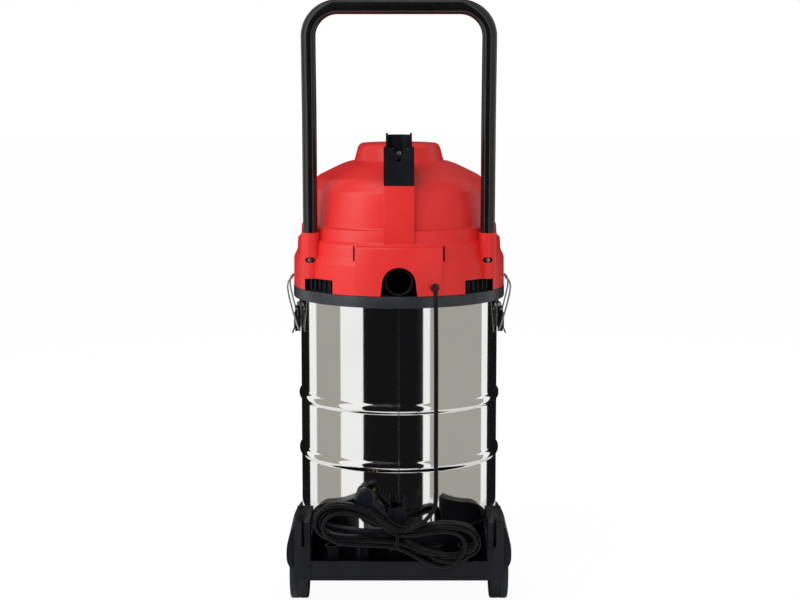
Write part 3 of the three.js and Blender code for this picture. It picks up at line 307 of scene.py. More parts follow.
def settle(line, rounds, first, last):
    """Lets the turns push each other apart until they lie side by side."""
    wide = 2 * cord_radius / mm
    for _ in range(rounds):
        tree = KDTree(len(line))
        for i, p in enumerate(line):
            tree.insert(p, i)
        tree.balance()
        shift = [Vector() for _ in line]
        for i in range(first, last):
            for other, j, away in tree.find_range(line[i], wide):
                if abs(i - j) > 5 and away > 0.01:
                    push = (line[i] - other) * (0.28 * (wide - away) / away)
                    shift[i] += Vector((0.35 * push.x, push.y, 0.35 * push.z))
        for i in range(first, last):
            bend = (line[i - 1] + line[i + 1]) / 2 - line[i]
            line[i] = line[i] + shift[i] * 0.5 + bend * 0.14
        for i in range(first, last):
            x, y, z = line[i]
            gathered = abs(x - hank_middle) < 12
            y = min(max(y, 214.2), 236.3 if gathered else 239.5)
            if gathered and z < 150:
                z = min(max(z, 115.5), 145.0)
            if z < lip_top:
                y = max(y, lip_front)
            line[i] = Vector((x, y, z))
    return line


start_index = min(range(len(cord_line)), key=lambda i: (cord_line[i] - Vector((-59, 232.2, 180))).length)
cord_line = settle(cord_line, 60, start_index, len(cord_line) - 3)
for _ in range(30):
    for i in range(start_index, len(cord_line) - 4):
        smoother = (cord_line[i - 1] + cord_line[i + 1]) / 2
        cord_line[i] = cord_line[i].lerp(smoother, 0.3)
        if cord_line[i].z < lip_top:
            cord_line[i].y = max(cord_line[i].y, lip_front)

cord_curve = bpy.data.curves.new("mains_cord", "CURVE")
cord_curve.dimensions = "3D"
cord_curve.bevel_depth = cord_radius
cord_curve.bevel_resolution = 3
cord_curve.use_fill_caps = True
run = cord_curve.splines.new("POLY")
run.points.add(len(cord_line) - 1)
for point, place in zip(run.points, cord_line):
    point.co = (*(place * mm), 1)
run.use_smooth = True
mains_cord = bpy.data.objects.new("mains_cord", cord_curve)
bpy.context.scene.collection.objects.link(mains_cord)
cord_curve.materials.append(cord_pvc)
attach(mains_cord, "head")
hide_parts("cord", "cord_hank")


def select_only(piece):
    bpy.ops.object.select_all(action="DESELECT")
    piece.select_set(True)
    bpy.context.view_layer.objects.active = piece


def apply_modifier(piece, modifier):
    select_only(piece)
    bpy.ops.object.modifier_apply(modifier=modifier.name)


def tidy_mesh(piece):
    """Merges doubles and turns every face outwards."""
    select_only(piece)
    bpy.ops.object.mode_set(mode="EDIT")
    bpy.ops.mesh.select_all(action="SELECT")
    bpy.ops.mesh.remove_doubles(threshold=0.000005)
    bpy.ops.mesh.normals_make_consistent(inside=False)
    bpy.ops.object.mode_set(mode="OBJECT")


def soften(piece, width, angle=30, segments=2):
    """Rounds the edges that are sharper than the angle, and shades the faces smooth."""
    if width:
        bevel = piece.modifiers.new("rounding", "BEVEL")
        bevel.width = width * mm
        bevel.segments = segments
        bevel.limit_method = "ANGLE"
        bevel.angle_limit = math.radians(angle)
        bevel.use_clamp_overlap = True
        apply_modifier(piece, bevel)
    select_only(piece)
    bpy.ops.object.shade_smooth_by_angle(angle=math.radians(38))


def lathe(name, line, closed=False, steps=160):
    """A turned shape: a line of (radius, height) points in mm, spun about Z."""
    bpy.ops.mesh.primitive_circle_add(vertices=len(line), radius=0.1)
    piece = bpy.context.object
    piece.name = name
    for vertex, (radius, height) in zip(piece.data.vertices, line):
        vertex.co = (radius * mm, 0, height * mm)
    last = len(line) - 1
    bpy.ops.object.mode_set(mode="EDIT")
    bpy.ops.mesh.select_mode(type="EDGE")
    bpy.ops.mesh.select_all(action="DESELECT")
    bpy.ops.object.mode_set(mode="OBJECT")
    if not closed:
        for edge in piece.data.edges:
            edge.select = set(edge.vertices) == {0, last}
        bpy.ops.object.mode_set(mode="EDIT")
        bpy.ops.mesh.delete(type="EDGE")
        bpy.ops.object.mode_set(mode="OBJECT")
    bpy.ops.object.mode_set(mode="EDIT")
    bpy.ops.mesh.select_mode(type="VERT")
    bpy.ops.mesh.select_all(action="SELECT")
    bpy.ops.mesh.spin(steps=steps, angle=2 * math.pi, center=(0, 0, 0), axis=(0, 0, 1))
    bpy.ops.object.mode_set(mode="OBJECT")
    tidy_mesh(piece)
    return piece


def prism(name, outline, low, high, along="Y"):
    """An outline in mm drawn out from low to high, as (x, z) points along Y or (y, z) along X."""
    bpy.ops.mesh.primitive_circle_add(vertices=len(outline), radius=0.1, fill_type="NGON")
    piece = bpy.context.object
    piece.name = name
    order = {"X": lambda u, v, w: (w, u, v), "Y": lambda u, v, w: (u, w, v)}[along]
    for vertex, (u, v) in zip(piece.data.vertices, outline):
        vertex.co = Vector(order(u, v, low)) * mm
    bpy.ops.object.mode_set(mode="EDIT")
    bpy.ops.mesh.select_all(action="SELECT")
    move = Vector(order(0, 0, high - low)) * mm
    bpy.ops.mesh.extrude_region_move(TRANSFORM_OT_translate={"value": tuple(move)})
    bpy.ops.object.mode_set(mode="OBJECT")
    tidy_mesh(piece)
    return piece


def block(name, low, high):
    """A box from its low corner to its high corner, in mm."""
    low, high = Vector(low) * mm, Vector(high) * mm
    bpy.ops.mesh.primitive_cube_add(size=1, location=(low + high) / 2)
    piece = bpy.context.object
    piece.name = name
    piece.scale = high - low
    bpy.ops.object.transform_apply(location=True, rotation=True, scale=True)
    return piece


def rod(name, radius, start, end, sides=48):
    """A round bar between two points, in mm."""
    start, end = Vector(start) * mm, Vector(end) * mm
    bpy.ops.mesh.primitive_cylinder_add(vertices=sides, radius=radius * mm, depth=(end - start).length)
    piece = bpy.context.object
    piece.name = name
    piece.rotation_euler = (end - start).to_track_quat("Z", "Y").to_euler()
    piece.location = (start + end) / 2
    bpy.ops.object.transform_apply(location=True, rotation=True, scale=True)
    return piece


def combine(piece, tool, operation):
    """Joins a tool to the piece, cuts it away, or keeps what both share."""
    fit = piece.modifiers.new("fit", "BOOLEAN")
    fit.operation = operation
    fit.object = tool
    fit.solver = "EXACT"
    apply_modifier(piece, fit)
    bpy.data.objects.remove(tool)


def join_to(piece, *tools):
    for tool in tools:
        combine(piece, tool, "UNION")


def cut_from(piece, *tools):
    for tool in tools:
        combine(piece, tool, "DIFFERENCE")


def place_along(piece, start, axis):
    """Stands a piece that was turned about Z at a point in mm, along an axis."""
    piece.rotation_euler = Vector(axis).to_track_quat("Z", "Y").to_euler()
    piece.location = Vector(start) * mm
    select_only(piece)
    bpy.ops.object.transform_apply(location=True, rotation=True, scale=True)
    return piece


def wire(name, points, radius, sides=12, cyclic=False):
    """A round wire or tube on a line of points in mm, as a closed mesh."""
    curve = bpy.data.curves.new(name, "CURVE")
    curve.dimensions = "3D"
    curve.bevel_depth = radius * mm
    curve.bevel_resolution = max(0, sides // 2 - 2)
    curve.use_fill_caps = True
    line = curve.splines.new("POLY")
    line.points.add(len(points) - 1)
    line.use_cyclic_u = cyclic
    for point, place in zip(line.points, points):
        point.co = (*(Vector(place) * mm), 1)
    piece = bpy.data.objects.new(name, curve)
    bpy.context.scene.collection.objects.link(piece)
    select_only(piece)
    bpy.ops.object.convert(target="MESH")
    tidy_mesh(piece)
    bpy.ops.object.shade_smooth_by_angle(angle=math.radians(50))
    return piece


def from_frame(name, node, width):
    """A finished copy of one of the frame's pieces: merged, cleaned and round-edged."""
    piece = bpy.data.objects.new(name, bpy.data.objects[node].data.copy())
    bpy.context.scene.collection.objects.link(piece)
    piece.data.materials.clear()
    select_only(piece)
    bpy.ops.object.mode_set(mode="EDIT")
    bpy.ops.mesh.select_all(action="SELECT")
    bpy.ops.mesh.remove_doubles(threshold=0.000002)
    bpy.ops.mesh.dissolve_limited(angle_limit=math.radians(0.6))
    bpy.ops.object.mode_set(mode="OBJECT")
    soften(piece, width, 32)
    return piece


def fit_piece(piece, material, body, slot, *nodes):
    """Gives a piece its finish and the body that it moves with, and hides the frame's parts that it stands for.
    """
    piece.data.materials.clear()
    piece.data.materials.append(material)
    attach(piece, body)
    if nodes:
        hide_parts(*nodes)


# The tie is a black wire round the middle of the hank, wound twice and crossed in front.
tie_line = []
for i in range(97):
    turn = 4 * math.pi * i / 96
    across, up = math.cos(turn), math.sin(turn)
    corner = (abs(across) ** 5 + abs(up) ** 5) ** 0.2
    tie_line.append((
        hank_middle + 1.8 * math.cos(turn / 2),
        225.4 + 16.4 * across / corner,
        130.6 + 19.2 * up / corner,
    ))
tie_ends = [(14, 240.5, 113), (9, 241.3, 121)], [(-1, 241.3, 138), (-11, 240.8, 143)]
cord_wrap = wire("cord_wrap", tie_line, 1.3, 10)
for number, ends in enumerate(tie_ends):
    line = [(hank_middle, 241.6, 130), *(ends if number else ends[::-1])]
    join_to(cord_wrap, wire("end", line, 1.2, 10))
fit_piece(cord_wrap, cord_pvc, "head", "cord_rubber", "cord_tie")

# Plug. One moulding of black PVC on the end of the cord: a ribbed sleeve round the
# cord, a round body to grip, and two round brass pins.
plug_rubber = finish("plug_rubber", (0.007, 0.008, 0.013), (0.012, 0.013, 0.019), (0.18, 0.28), bump=0.08)
plug_facing = Vector((0, -1, 0))
plug_facing = (plug_facing - plug_axis * plug_facing.dot(plug_axis)).normalized()
pin_line = plug_axis.cross(plug_facing)
plug_frame = Matrix((pin_line, plug_axis, plug_facing)).transposed().to_4x4()
plug_frame.translation = plug_middle * mm
body_line = [
    (0, -9.5), (9, -9.45), (13, -9.1), (15.8, -8), (17.5, -6.2), (18.3, -3.8), (18.5, -1.5), (18.5, 5.5),
    (17.9, 5.9), (17.9, 8.2), (17.2, 9.2), (14.6, 9.5), (14.2, 9.2), (14, 7.4), (0, 7.4),
]
plug_body = lathe("plug_body", body_line, steps=72)
soften(plug_body, 0)
sleeve_line = [(0, 0), (4.6, 0)]
for ring in range(6):
    z = 0.8 + ring * 3.6
    wide = 5.2 + 0.5 * ring
    sleeve_line += [(wide, z), (wide, z + 2.1), (wide - 1.2, z + 2.3), (wide - 1.2, z + 3.4)]
sleeve_line += [(8, 23.5), (8.6, 27), (8.6, 38), (0, 38)]
plug_sleeve = lathe("sleeve", sleeve_line, steps=40)
plug_sleeve.data.transform(Matrix.Rotation(math.radians(-90), 4, "X"))
plug_sleeve.data.transform(Matrix.Translation((0, -(plug_middle - plug_tip).length * mm, 0)))
join_to(plug_body, plug_sleeve)
plug_body.data.transform(plug_frame)
soften(plug_body, 0.3, 30)
fit_piece(plug_body, plug_rubber, "head", "black_plastic", "plug")
brass = finish("pin_brass", (0.50, 0.36, 0.16), (0.58, 0.44, 0.22), (0.25, 0.35), metal=1.0)
plug_pins = rod("plug_pins", 2.4, (9.5, 0, 5), (9.5, 0, 28), 24)
join_to(
    plug_pins,
    rod("pin", 2.4, (-9.5, 0, 5), (-9.5, 0, 28), 24),
    block("bridge", (-9.5, -1, 5), (9.5, 1, 7)),
    block("clip", (-3, -1, 5.2), (3, 18.6, 6.2)),
    block("clip", (-3, 17.7, 5.2), (3, 18.6, 9.4)),
)
plug_pins.data.transform(plug_frame)
soften(plug_pins, 0.6, 40, 3)
fit_piece(plug_pins, brass, "head", "black_plastic")

# Strain relief. A ribbed black sleeve in the hood, which tapers towards the cord.
relief_line = [(0, 0), (7.2, 0), (7.2, 25)]
for ring in range(4):
    y = 25 + ring * 3.2
    wide = 6.6 - 0.55 * ring
    relief_line += [(wide, y), (wide, y + 2.0), (wide - 1.0, y + 2.2), (wide - 1.0, y + 3.0)]
relief_line += [(4.4, 38), (4.2, 39.6), (0, 39.6)]
cord_sleeve = lathe("cord_sleeve", relief_line, steps=40)
soften(cord_sleeve, 0.3, 25)
place_along(cord_sleeve, (-61, 158.8, 551), (0, 1, 0))
fit_piece(cord_sleeve, plug_rubber, "head", "cord_rubber", "strain_relief")

# Drum. A tank of thin polished stainless steel, rolled and welded up its back, with two
# pressed-out beads and a rolled rim.


def brushed(material, stretch, strength):
    """Adds long faint marks up the metal to a finish."""
    nodes, links = material.node_tree.nodes, material.node_tree.links
    shader = nodes["Principled BSDF"]
    place = nodes.new("ShaderNodeTexCoord")
    mapping = nodes.new("ShaderNodeMapping")
    mapping.inputs["Scale"].default_value = stretch
    links.new(place.outputs["Object"], mapping.inputs["Vector"])
    marks = nodes.new("ShaderNodeTexNoise")
    marks.inputs["Scale"].default_value = 60
    links.new(mapping.outputs["Vector"], marks.inputs["Vector"])
    relief = nodes.new("ShaderNodeBump")
    relief.inputs["Strength"].default_value = strength
    relief.inputs["Distance"].default_value = 0.0002
    links.new(marks.outputs["Fac"], relief.inputs["Height"])
    links.new(relief.outputs["Normal"], shader.inputs["Normal"])
    return material


polished = brushed(
    finish("polished_stainless", (0.80, 0.80, 0.79), (0.86, 0.86, 0.85), (0.045, 0.085), metal=1.0, speckle=6),
    (1, 1, 0.12), 0.012,
)
zinc = finish("zinc_plate", (0.48, 0.49, 0.51), (0.62, 0.63, 0.65), (0.25, 0.42), metal=1.0, speckle=90)
drum_radius = 175.0
sheet = 1.2
bead_levels = (242, 342)
bead_half = [(2.8, 3.85), (5.5, 3.0), (7.4, 1.5), (9, 0.3), (10.5, 0.02), (11.5, 0), (14, 0)]
bead_line = [(-rise, out) for rise, out in bead_half[::-1]] + [(0, 4)] + bead_half


def drum_side(inset):
    """The drum's line from its middle to its rim, pressed out at the two beads."""
    r, z = drum_radius - inset, 100 + inset
    line = [(0, z), (r - 12, z)]
    for a in [math.radians(d) for d in (22, 45, 68, 90)]:
        line.append((r - 12 + 12 * math.sin(a), z + 12 - 12 * math.cos(a)))
    line += [(r, z + 13), (r, z + 16), (r, z + 40)]
    for level in bead_levels:
        for rise, out in bead_line:
            line.append((r + out, level + rise))
    return line


rim = [
    (175, 514), (175, 518), (175, 518.6), (176.6, 519.2), (178, 520.6), (178.3, 522.6), (177.8, 524.6),
    (176.4, 525.8), (174.8, 526), (173.8, 525.4),
]
steel_drum = lathe("steel_drum", drum_side(0) + rim + drum_side(sheet)[::-1], steps=192)
inlet_level, screw_circle = 425, 43
screw_places = []
for a in [math.radians(45 + 90 * i) for i in range(4)]:
    screw_places.append((screw_circle * math.cos(a), inlet_level + screw_circle * math.sin(a)))
hose_hole = rod("hose_hole", 28.3, (0, -220, inlet_level), (0, -140, inlet_level), 64)
screw_holes = [rod("screw_hole", 2.3, (x, -200, z), (x, -150, z), 16) for x, z in screw_places]
cut_from(steel_drum, hose_hole, *screw_holes)
soften(steel_drum, 0)
fit_piece(steel_drum, polished, "tank", "polished_steel", "tank_shell")

seam_side = [(r + 0.3, z) for r, z in drum_side(0) if z > 114] + [(175.3, 518)]
seam_line = seam_side + [(r - 0.9, z) for r, z in seam_side[::-1]]
weld_seam = prism("weld_seam", seam_line, -0.9, 0.9, along="X")
soften(weld_seam, 0)
seam_steel = finish("seam_steel", (0.20, 0.20, 0.20), (0.34, 0.34, 0.33), (0.25, 0.4), metal=1.0, speckle=200)
fit_piece(weld_seam, seam_steel, "tank", "polished_steel")

# Inlet. A black moulded flange for the suction hose, screwed to the drum's front over a
# gasket, with a chute inside that turns the dust downwards.
black_moulded = finish(
    "black_moulded", (0.0055, 0.0060, 0.0095), (0.0095, 0.0105, 0.0150), (0.32, 0.46),
    grain=900, bump=0.14,
)
black_moulded.node_tree.nodes["Principled BSDF"].inputs["Specular IOR Level"].default_value = 0.22
soft_rubber = finish("soft_rubber", (0.012, 0.012, 0.012), (0.02, 0.02, 0.02), (0.65, 0.8), grain=500, bump=0.2)
for name, node, width, material, slot in (
    ("inlet_socket", "inlet_flange", 0.8, black_moulded, "black_plastic"),
    ("inlet_ring_seal", "inlet_gasket", 0.2, soft_rubber, "seal_rubber"),
    ("inlet_chute", "inlet_deflector", 0.5, black_moulded, "black_plastic"),
):
    fit_piece(from_frame(name, node, width), material, "tank", slot, node)


def pan_head(name, start, axis, radius, shank):
    """A pan-head screw with a cross in it; start is where the head sits."""
    line = [(0, -shank), (radius * 0.55, -shank), (radius * 0.55, 0), (radius, 0), (radius, 0.9)]
    line += [(radius * 0.86, 1.7), (radius * 0.5, 2.15), (0, 2.3)]
    screw = lathe(name, line, steps=32)
    arm, thin = radius * 0.62, radius * 0.14
    cut_from(
        screw,
        block("slot", (-arm, -thin, 1.2), (arm, thin, 4)),
        block("slot", (-thin, -arm, 1.2), (thin, arm, 4)),
    )
    soften(screw, 0)
    return place_along(screw, start, axis)


for number, (x, z) in enumerate(screw_places, 1):
    screw = pan_head(f"flange_screw_{number}", (x, -182.3, z), (0, -1, 0), 4, 20)
    fit_piece(screw, zinc, "tank", "zinc_steel", f"inlet_screw_{number}")

# Latches. On each side a zinc bracket on the drum carries a black steel lever, and a
# wire bail on the lever pulls the head down.
gloss_enamel = finish(
    "gloss_enamel", (0.0045, 0.0045, 0.005), (0.008, 0.008, 0.009), (0.10, 0.16),
    bump=0.02, grain=120,
)
gloss_enamel.node_tree.nodes["Principled BSDF"].inputs["Coat Weight"].default_value = 0.4
bail_side = [
    (178, 26.5, 459), (178, 32, 459), (178, 34.5, 459), (180.5, 34.5, 467), (184, 34.5, 478),
    (188, 34.5, 492), (191.6, 34.5, 506), (194.6, 34.5, 519), (196.6, 34.5, 530), (196.9, 34.5, 536),
    (196.2, 34.5, 541.5), (194.4, 33.7, 546), (192, 31.4, 548.9), (189.9, 28.6, 549.9), (189.5, 25.5, 550),
]
bail_path = bail_side + [(x, -y, z) for x, y, z in bail_side[::-1]]


def other_side(piece, name):
    """The same piece turned half round to the other side of the drum."""
    twin = piece.copy()
    twin.data = piece.data.copy()
    twin.name = name
    bpy.context.scene.collection.objects.link(twin)
    twin.data.transform(Matrix.Rotation(math.pi, 4, "Z"))
    return twin


bail = wire("bail_wire_right", bail_path, 1.5, 14)
for name, piece in (("right", bail), ("left", other_side(bail, "bail_wire_left"))):
    fit_piece(piece, zinc, f"bail_{name}", "zinc_steel", f"latch_bail_{name}")
    for piece_name, node, width, material, body, slot in (
        ("lever_plate", "latch_lever", 0.4, gloss_enamel, f"lever_{name}", "black_enamel"),
        ("latch_foot", "latch_bracket", 0.3, zinc, "tank", "zinc_steel"),
        ("latch_hinge_pin", "latch_pin", 0.4, zinc, "tank", "zinc_steel"),
    ):
        latch_piece = from_frame(f"{piece_name}_{name}", f"{node}_{name}", width)
        fit_piece(latch_piece, material, body, slot, f"{node}_{name}")

# Dolly. The drum stands in a round moulded base on two casters and an axle. The tray
# behind it has a low lip, a slotted block and a fender at each end, and hollow pegs.
sides = (("right", 1), ("left", -1))
wheel_axis_y, wheel_axis_z = 130.0, 60.0
wall_inner, wall_outer = 148.5, 153.5
stem_x, stem_y = 110, -105


def side_prism(name, outline, s, near, far):
    """An outline of (y, z) points drawn out on one side of the vacuum."""
    low, high = sorted((s * near, s * far))
    return prism(name, outline, low, high, along="X")


def side_block(name, s, x, y, z):
    """A box on one side of the vacuum, from its range in X, Y and Z."""
    low, high = sorted((s * x[0], s * x[1]))
    return block(name, (low, y[0], z[0]), (high, y[1], z[1]))


def wheel_well(s):
    start = (s * wall_outer, wheel_axis_y, wheel_axis_z)
    return rod("well", 66, start, (s * 240, wheel_axis_y, wheel_axis_z), 96)


ring_line = [
    (140, 91.7), (177.5, 91.7), (177.5, 60), (182.5, 60), (182.5, 128.4), (180.9, 130), (175.4, 130),
    (175.4, 99.7), (140, 99.7),
]
base_ring = lathe("base_ring", ring_line, closed=True, steps=144)
cut_from(base_ring, wheel_well(1), wheel_well(-1))
base_wall = [(64, 60), (64, 130), (100.8, 130), (100.8, 60)]
for _, s in sides:
    join_to(base_ring, side_prism("wall", base_wall, s, wall_inner, wall_outer))
    join_to(base_ring, rod("boss", 18, (s * stem_x, stem_y, 62), (s * stem_x, stem_y, 96), 48))
    cut_from(base_ring, rod("stem_hole", 5.3, (s * stem_x, stem_y, 55), (s * stem_x, stem_y, 90.7), 24))
cut_from(base_ring, rod("drum_room", 175.3, (0, 0, 99.7), (0, 0, 160), 192))
cut_from(base_ring, wheel_well(1), wheel_well(-1))
soften(base_ring, 0.7, 40)
fit_piece(base_ring, black_moulded, "tank", "black_plastic", "dolly_base")

tray = block("tray_moulding", (-154, 104, 60), (154, 235, 66))
lip = block("lip", (-154, 229, 60), (154, 235, 92.5))
cut_from(lip, block("face", (-149.8, 234.1, 64.5), (149.8, 237, 95)))
join_to(tray, lip)
guard_side = [(235, 60), (235, 161), (150, 161)]
for a in [math.radians(d) for d in range(90, 181, 6)]:
    guard_side.append((130 + 72 * math.cos(a), 89 + 72 * math.sin(a)))
guard_side += [(58, 78), (130, 78), (200, 60)]
guard_back = [
    (160, 62), (177, 80.5), (183, 81), (186.2, 84.5), (188.6, 90), (189.8, 96), (190, 103), (189.8, 112),
    (188.8, 121), (187, 129), (184.4, 137), (181.4, 144.5), (178.2, 151.5), (175.4, 156.6), (173, 159.6),
    (170.5, 161), (160, 161),
]
wall_side = [
    (110, 48), (150, 48), (170, 60), (235, 60), (235, 92.5), (196, 130), (110, 130), (64, 120), (64, 60),
]
for _, s in sides:
    corner = side_block("corner", s, (150, 177), (50, 235), (60, 161))
    bulge = prism("bulge", [(s * x, z) for x, z in guard_back], 50.2, 230.5)
    soften(bulge, 0)
    join_to(corner, bulge)
    combine(corner, side_prism("guard", guard_side, s, 140, 200), "INTERSECT")
    join_to(corner, side_prism("wall", wall_side, s, wall_inner, wall_outer))
    cut_from(corner, side_block("slot", s, (159, 164), (220, 240), (118, 165)), wheel_well(s))
    join_to(tray, corner)
cut_from(
    tray,
    rod("round_room", 182.8, (0, 0, 20), (0, 0, 240), 192),
    rod("axle_hole", 5.3, (-200, wheel_axis_y, wheel_axis_z), (200, wheel_axis_y, wheel_axis_z), 24),
    block("hook_pocket", (-11.3, 190.7, 62.7), (18.3, 204.3, 67)),
    *[rod("peg_hole", 6.3, (x, 196, 50), (x, 196, 70), 24) for x in (62, 113, -62, -113)],
)
soften(tray, 0.7, 40)
fit_piece(tray, black_moulded, "tank", "black_plastic", "rear_tray")
for side, _ in sides:
    pegs = from_frame(f"nozzle_pegs_{side}", f"accessory_pegs_{side}", 0.8)
    fit_piece(pegs, black_moulded, "tank", "black_plastic", f"accessory_pegs_{side}")
hook = block("parking_hook", (-11, 191, 136), (18, 206, 176))
soften(hook, 1.0, 30)
join_to(
    hook,
    block("stem", (-11, 191, 65), (18, 200, 140)),
    block("foot", (-11, 191, 63), (18, 204, 65.9)),
)
for low, high in ((-11, -2.2), (9.2, 18)):
    outer = low if low < 0 else high
    lean = 1 if low < 0 else -1
    prong_line = [
        (low, 172), (high, 172), (outer + lean * 5, 181), (outer + lean * 4.6, 199), (outer + lean * 2.4, 199),
        (outer, 190),
    ]
    prong = prism("prong", prong_line, 191, 200)
    soften(prong, 0.5, 30)
    join_to(hook, prong)
cut_from(
    hook,
    block("groove", (-4.6, 204.8, 137.5), (-3.2, 208, 174)),
    block("groove", (10.2, 204.8, 137.5), (11.6, 208, 174)),
)
soften(hook, 0)
fit_piece(hook, black_moulded, "tank", "black_plastic", "tube_hook")
fit_piece(from_frame("axle_bar", "rear_axle", 0.4), zinc, "tank", "zinc_steel", "rear_axle")

# Wheels. Two large moulded wheels turn on the axle with pressed-in hub caps, and two
# small casters swivel in front.
wheel_black = finish(
    "wheel_black", (0.008, 0.009, 0.013), (0.014, 0.016, 0.022), (0.42, 0.58),
    grain=700, bump=0.15,
)
wheel_black.node_tree.nodes["Principled BSDF"].inputs["Specular IOR Level"].default_value = 0.3
blue_grey = finish(
    "blue_grey_moulded", (0.022, 0.025, 0.034), (0.032, 0.036, 0.048), (0.30, 0.42),
    grain=900, bump=0.1,
)
half = 15.5
wheel_line = [
    (5.3, 1 - half), (23, 1 - half), (23, 6 - half), (48, 6 - half), (49.5, 1 - half), (51, -half), (57, -half),
    (59.2, 1 - half), (60, 3.2 - half), (60, -1.2), (59.2, -0.8), (59.2, 0.8), (60, 1.2), (60, half - 3.2),
    (59.2, half - 1), (57, half), (51, half), (49.5, half - 2), (49, half - 8), (24, half - 8),
    (24, half - 2), (20.3, half - 2), (20.3, half - 7), (5.3, half - 7),
]
cap_line = [
    (0, half - 6.7), (20, half - 6.7), (20, half - 1.2), (18.6, half + 0.6), (16.8, half + 2),
    (12, half + 2.6), (6, half + 2.9), (0, half + 3),
]
roller_line = [
    (3.3, -9), (9, -9), (10, -7.5), (15, -7.5), (16.5, -9), (21.5, -9), (23.4, -8), (24, -6), (24, 6),
    (23.4, 8), (21.5, 9), (16.5, 9), (15, 7.5), (10, 7.5), (9, 9), (3.3, 9),
]
for side, s in sides:
    wheel = lathe(f"road_wheel_{side}", wheel_line, closed=True, steps=96)
    for i in range(6):
        a = math.radians(60 * i)
        spoke = block("spoke", (24, -2.2, half - 9), (50, 2.2, half - 3.5))
        spoke.data.transform(Matrix.Rotation(a, 4, "Z"))
        join_to(wheel, spoke)
    cap = lathe(f"wheel_cap_{side}", cap_line, steps=64)
    for piece, material, slot, node in (
        (wheel, wheel_black, "wheel_plastic", "rear_wheel"),
        (cap, blue_grey, "band_plastic", "hub_cap"),
    ):
        soften(piece, 0.35, 35)
        place_along(piece, (s * 172.5, wheel_axis_y, wheel_axis_z), (s, 0, 0))
        fit_piece(piece, material, f"wheel_{side}", slot, f"{node}_{side}")
    yoke = from_frame(f"caster_yoke_{side}", f"caster_fork_{side}", 0.4)
    fit_piece(yoke, black_moulded, f"fork_{side}", "black_plastic", f"caster_fork_{side}")
    rivet = from_frame(f"caster_rivet_{side}", f"caster_axle_{side}", 0.4)
    fit_piece(rivet, zinc, f"fork_{side}", "zinc_steel", f"caster_axle_{side}")
    roller = lathe(f"caster_roller_{side}", roller_line, closed=True, steps=64)
    soften(roller, 0.3, 30)
    place_along(roller, (s * stem_x, -87, 24), (s, 0, 0))
    fit_piece(roller, soft_rubber, f"roller_{side}", "caster_tyre", f"caster_wheel_{side}")

# Head base. A dark ring that closes the drum, with a soft seal under it; its rim is the
# band between the drum and the red cover.
head_level = 537.0
band_line = [
    (182.2, 517), (186.6, 517), (187.3, 517.8), (187.5, 519), (187.5, 534.6), (187.1, 536.2), (186, 536.7),
    (64, 536.7), (64, 531), (166, 531), (166, 505.2), (169, 505.2), (169, 529.4), (182.2, 529.4),
]
head_ring = lathe("head_ring", band_line, closed=True, steps=192)
soften(head_ring, 0.3, 30)
fit_piece(head_ring, blue_grey, "head", "band_plastic", "head_base")
fit_piece(from_frame("rim_seal", "head_seal", 0.3), soft_rubber, "head", "seal_rubber", "head_seal")

# Red cover. One glossy ABS shell over the motor: a tall skirt, a ledge, a dome and a
# flat cap, with a hood behind that holds the blower outlet and the rib of the holster.
red_abs = finish(
    "red_abs", (0.74, 0.020, 0.018), (0.80, 0.026, 0.024), (0.30, 0.40),
    grain=500, bump=0.05, speckle=12,
)
red_abs.node_tree.nodes["Principled BSDF"].inputs["Specular IOR Level"].default_value = 0.38
cover_side = [
    (187, 0), (187, 1), (186.5, 48), (185.8, 52), (180.9, 62.4), (180.3, 65), (179.4, 82.8), (178.6, 84.4),
    (174, 88.6), (173.4, 90.4), (172.4, 107), (171.6, 108.6), (170, 109.2), (165.8, 109.8), (165, 111),
    (164.4, 114), (163.2, 128), (161.0, 146), (158.6, 162), (157.3, 170.4), (156.6, 172.6), (155.4, 174.4),
    (149.5, 184), (146.6, 188.6), (143.4, 192), (139, 195.2), (122, 203.6), (101, 213.6), (88, 218),
    (80.6, 219.4), (79.2, 220), (78.4, 221.4), (73.2, 241), (71.6, 245), (69, 248.2), (66, 249.9), (0, 250),
]
red_cover = lathe("red_cover", [(0, 0)] + cover_side, steps=192)
hood = lathe("hood", [(0, 0.2), (189, 0.2), (189, 79.5), (187.4, 82.8), (184.2, 84), (0, 84)], steps=192)
hood_outline = [(-74, -1), (74, -1), (74, 78), (70, 84.5), (-70, 84.5), (-74, 78)]
combine(hood, prism("hood_room", hood_outline, 100, 200), "INTERSECT")
soften(hood, 1.6, 40, 3)
rib = prism("rib", [(-26, 80), (26, 80), (26, 183), (24, 186), (-24, 186), (-26, 183)], 100, 174)
soften(rib, 1.4, 40, 3)
join_to(red_cover, hood, rib)
cover_wall = 3
inner_side = [(max(r - cover_wall, 0), z - (cover_wall if z > 50 else 0)) for r, z in cover_side[2:]]
hollow = lathe("hollow", [(0, -2), (184, -2)] + inner_side, steps=192)
cut_from(red_cover, hollow)
arch_line = [(-31.5, -2), (31.5, -2), (28.5, 21)]
for a in [math.radians(d) for d in range(10, 171, 10)]:
    arch_line.append((28.5 * math.cos(a), 21 + 28.5 * math.sin(a)))
arch_line += [(-28.5, 21)]
cut_from(red_cover, prism("arch_room", arch_line, 140, 215))
for _, s in sides:
    cut_from(red_cover, side_block("vent_room", s, (113, 163), (60, 215), (-2, 23)))
    cut_from(red_cover, side_block("small_slot", s, (74.8, 77.4), (150, 200), (58, 83)))
cut_from(
    red_cover,
    rod("relief_hole", 7.5, (-61, 137, 14), (-61, 207, 14), 32),
    block("switch_hole", (-15.5, -207, 37.7), (15.5, -147, 64.3)),
)
handle_x, handle_y = 152.12, 104.94
socket_level, knee_level, leg_screw_level = 23, 298, 55


def handle_lean(rise):
    """The leg's place in Y at a height above the head's plate, as it leans backwards."""
    return handle_y + 13 * (rise - socket_level) / (knee_level - socket_level)


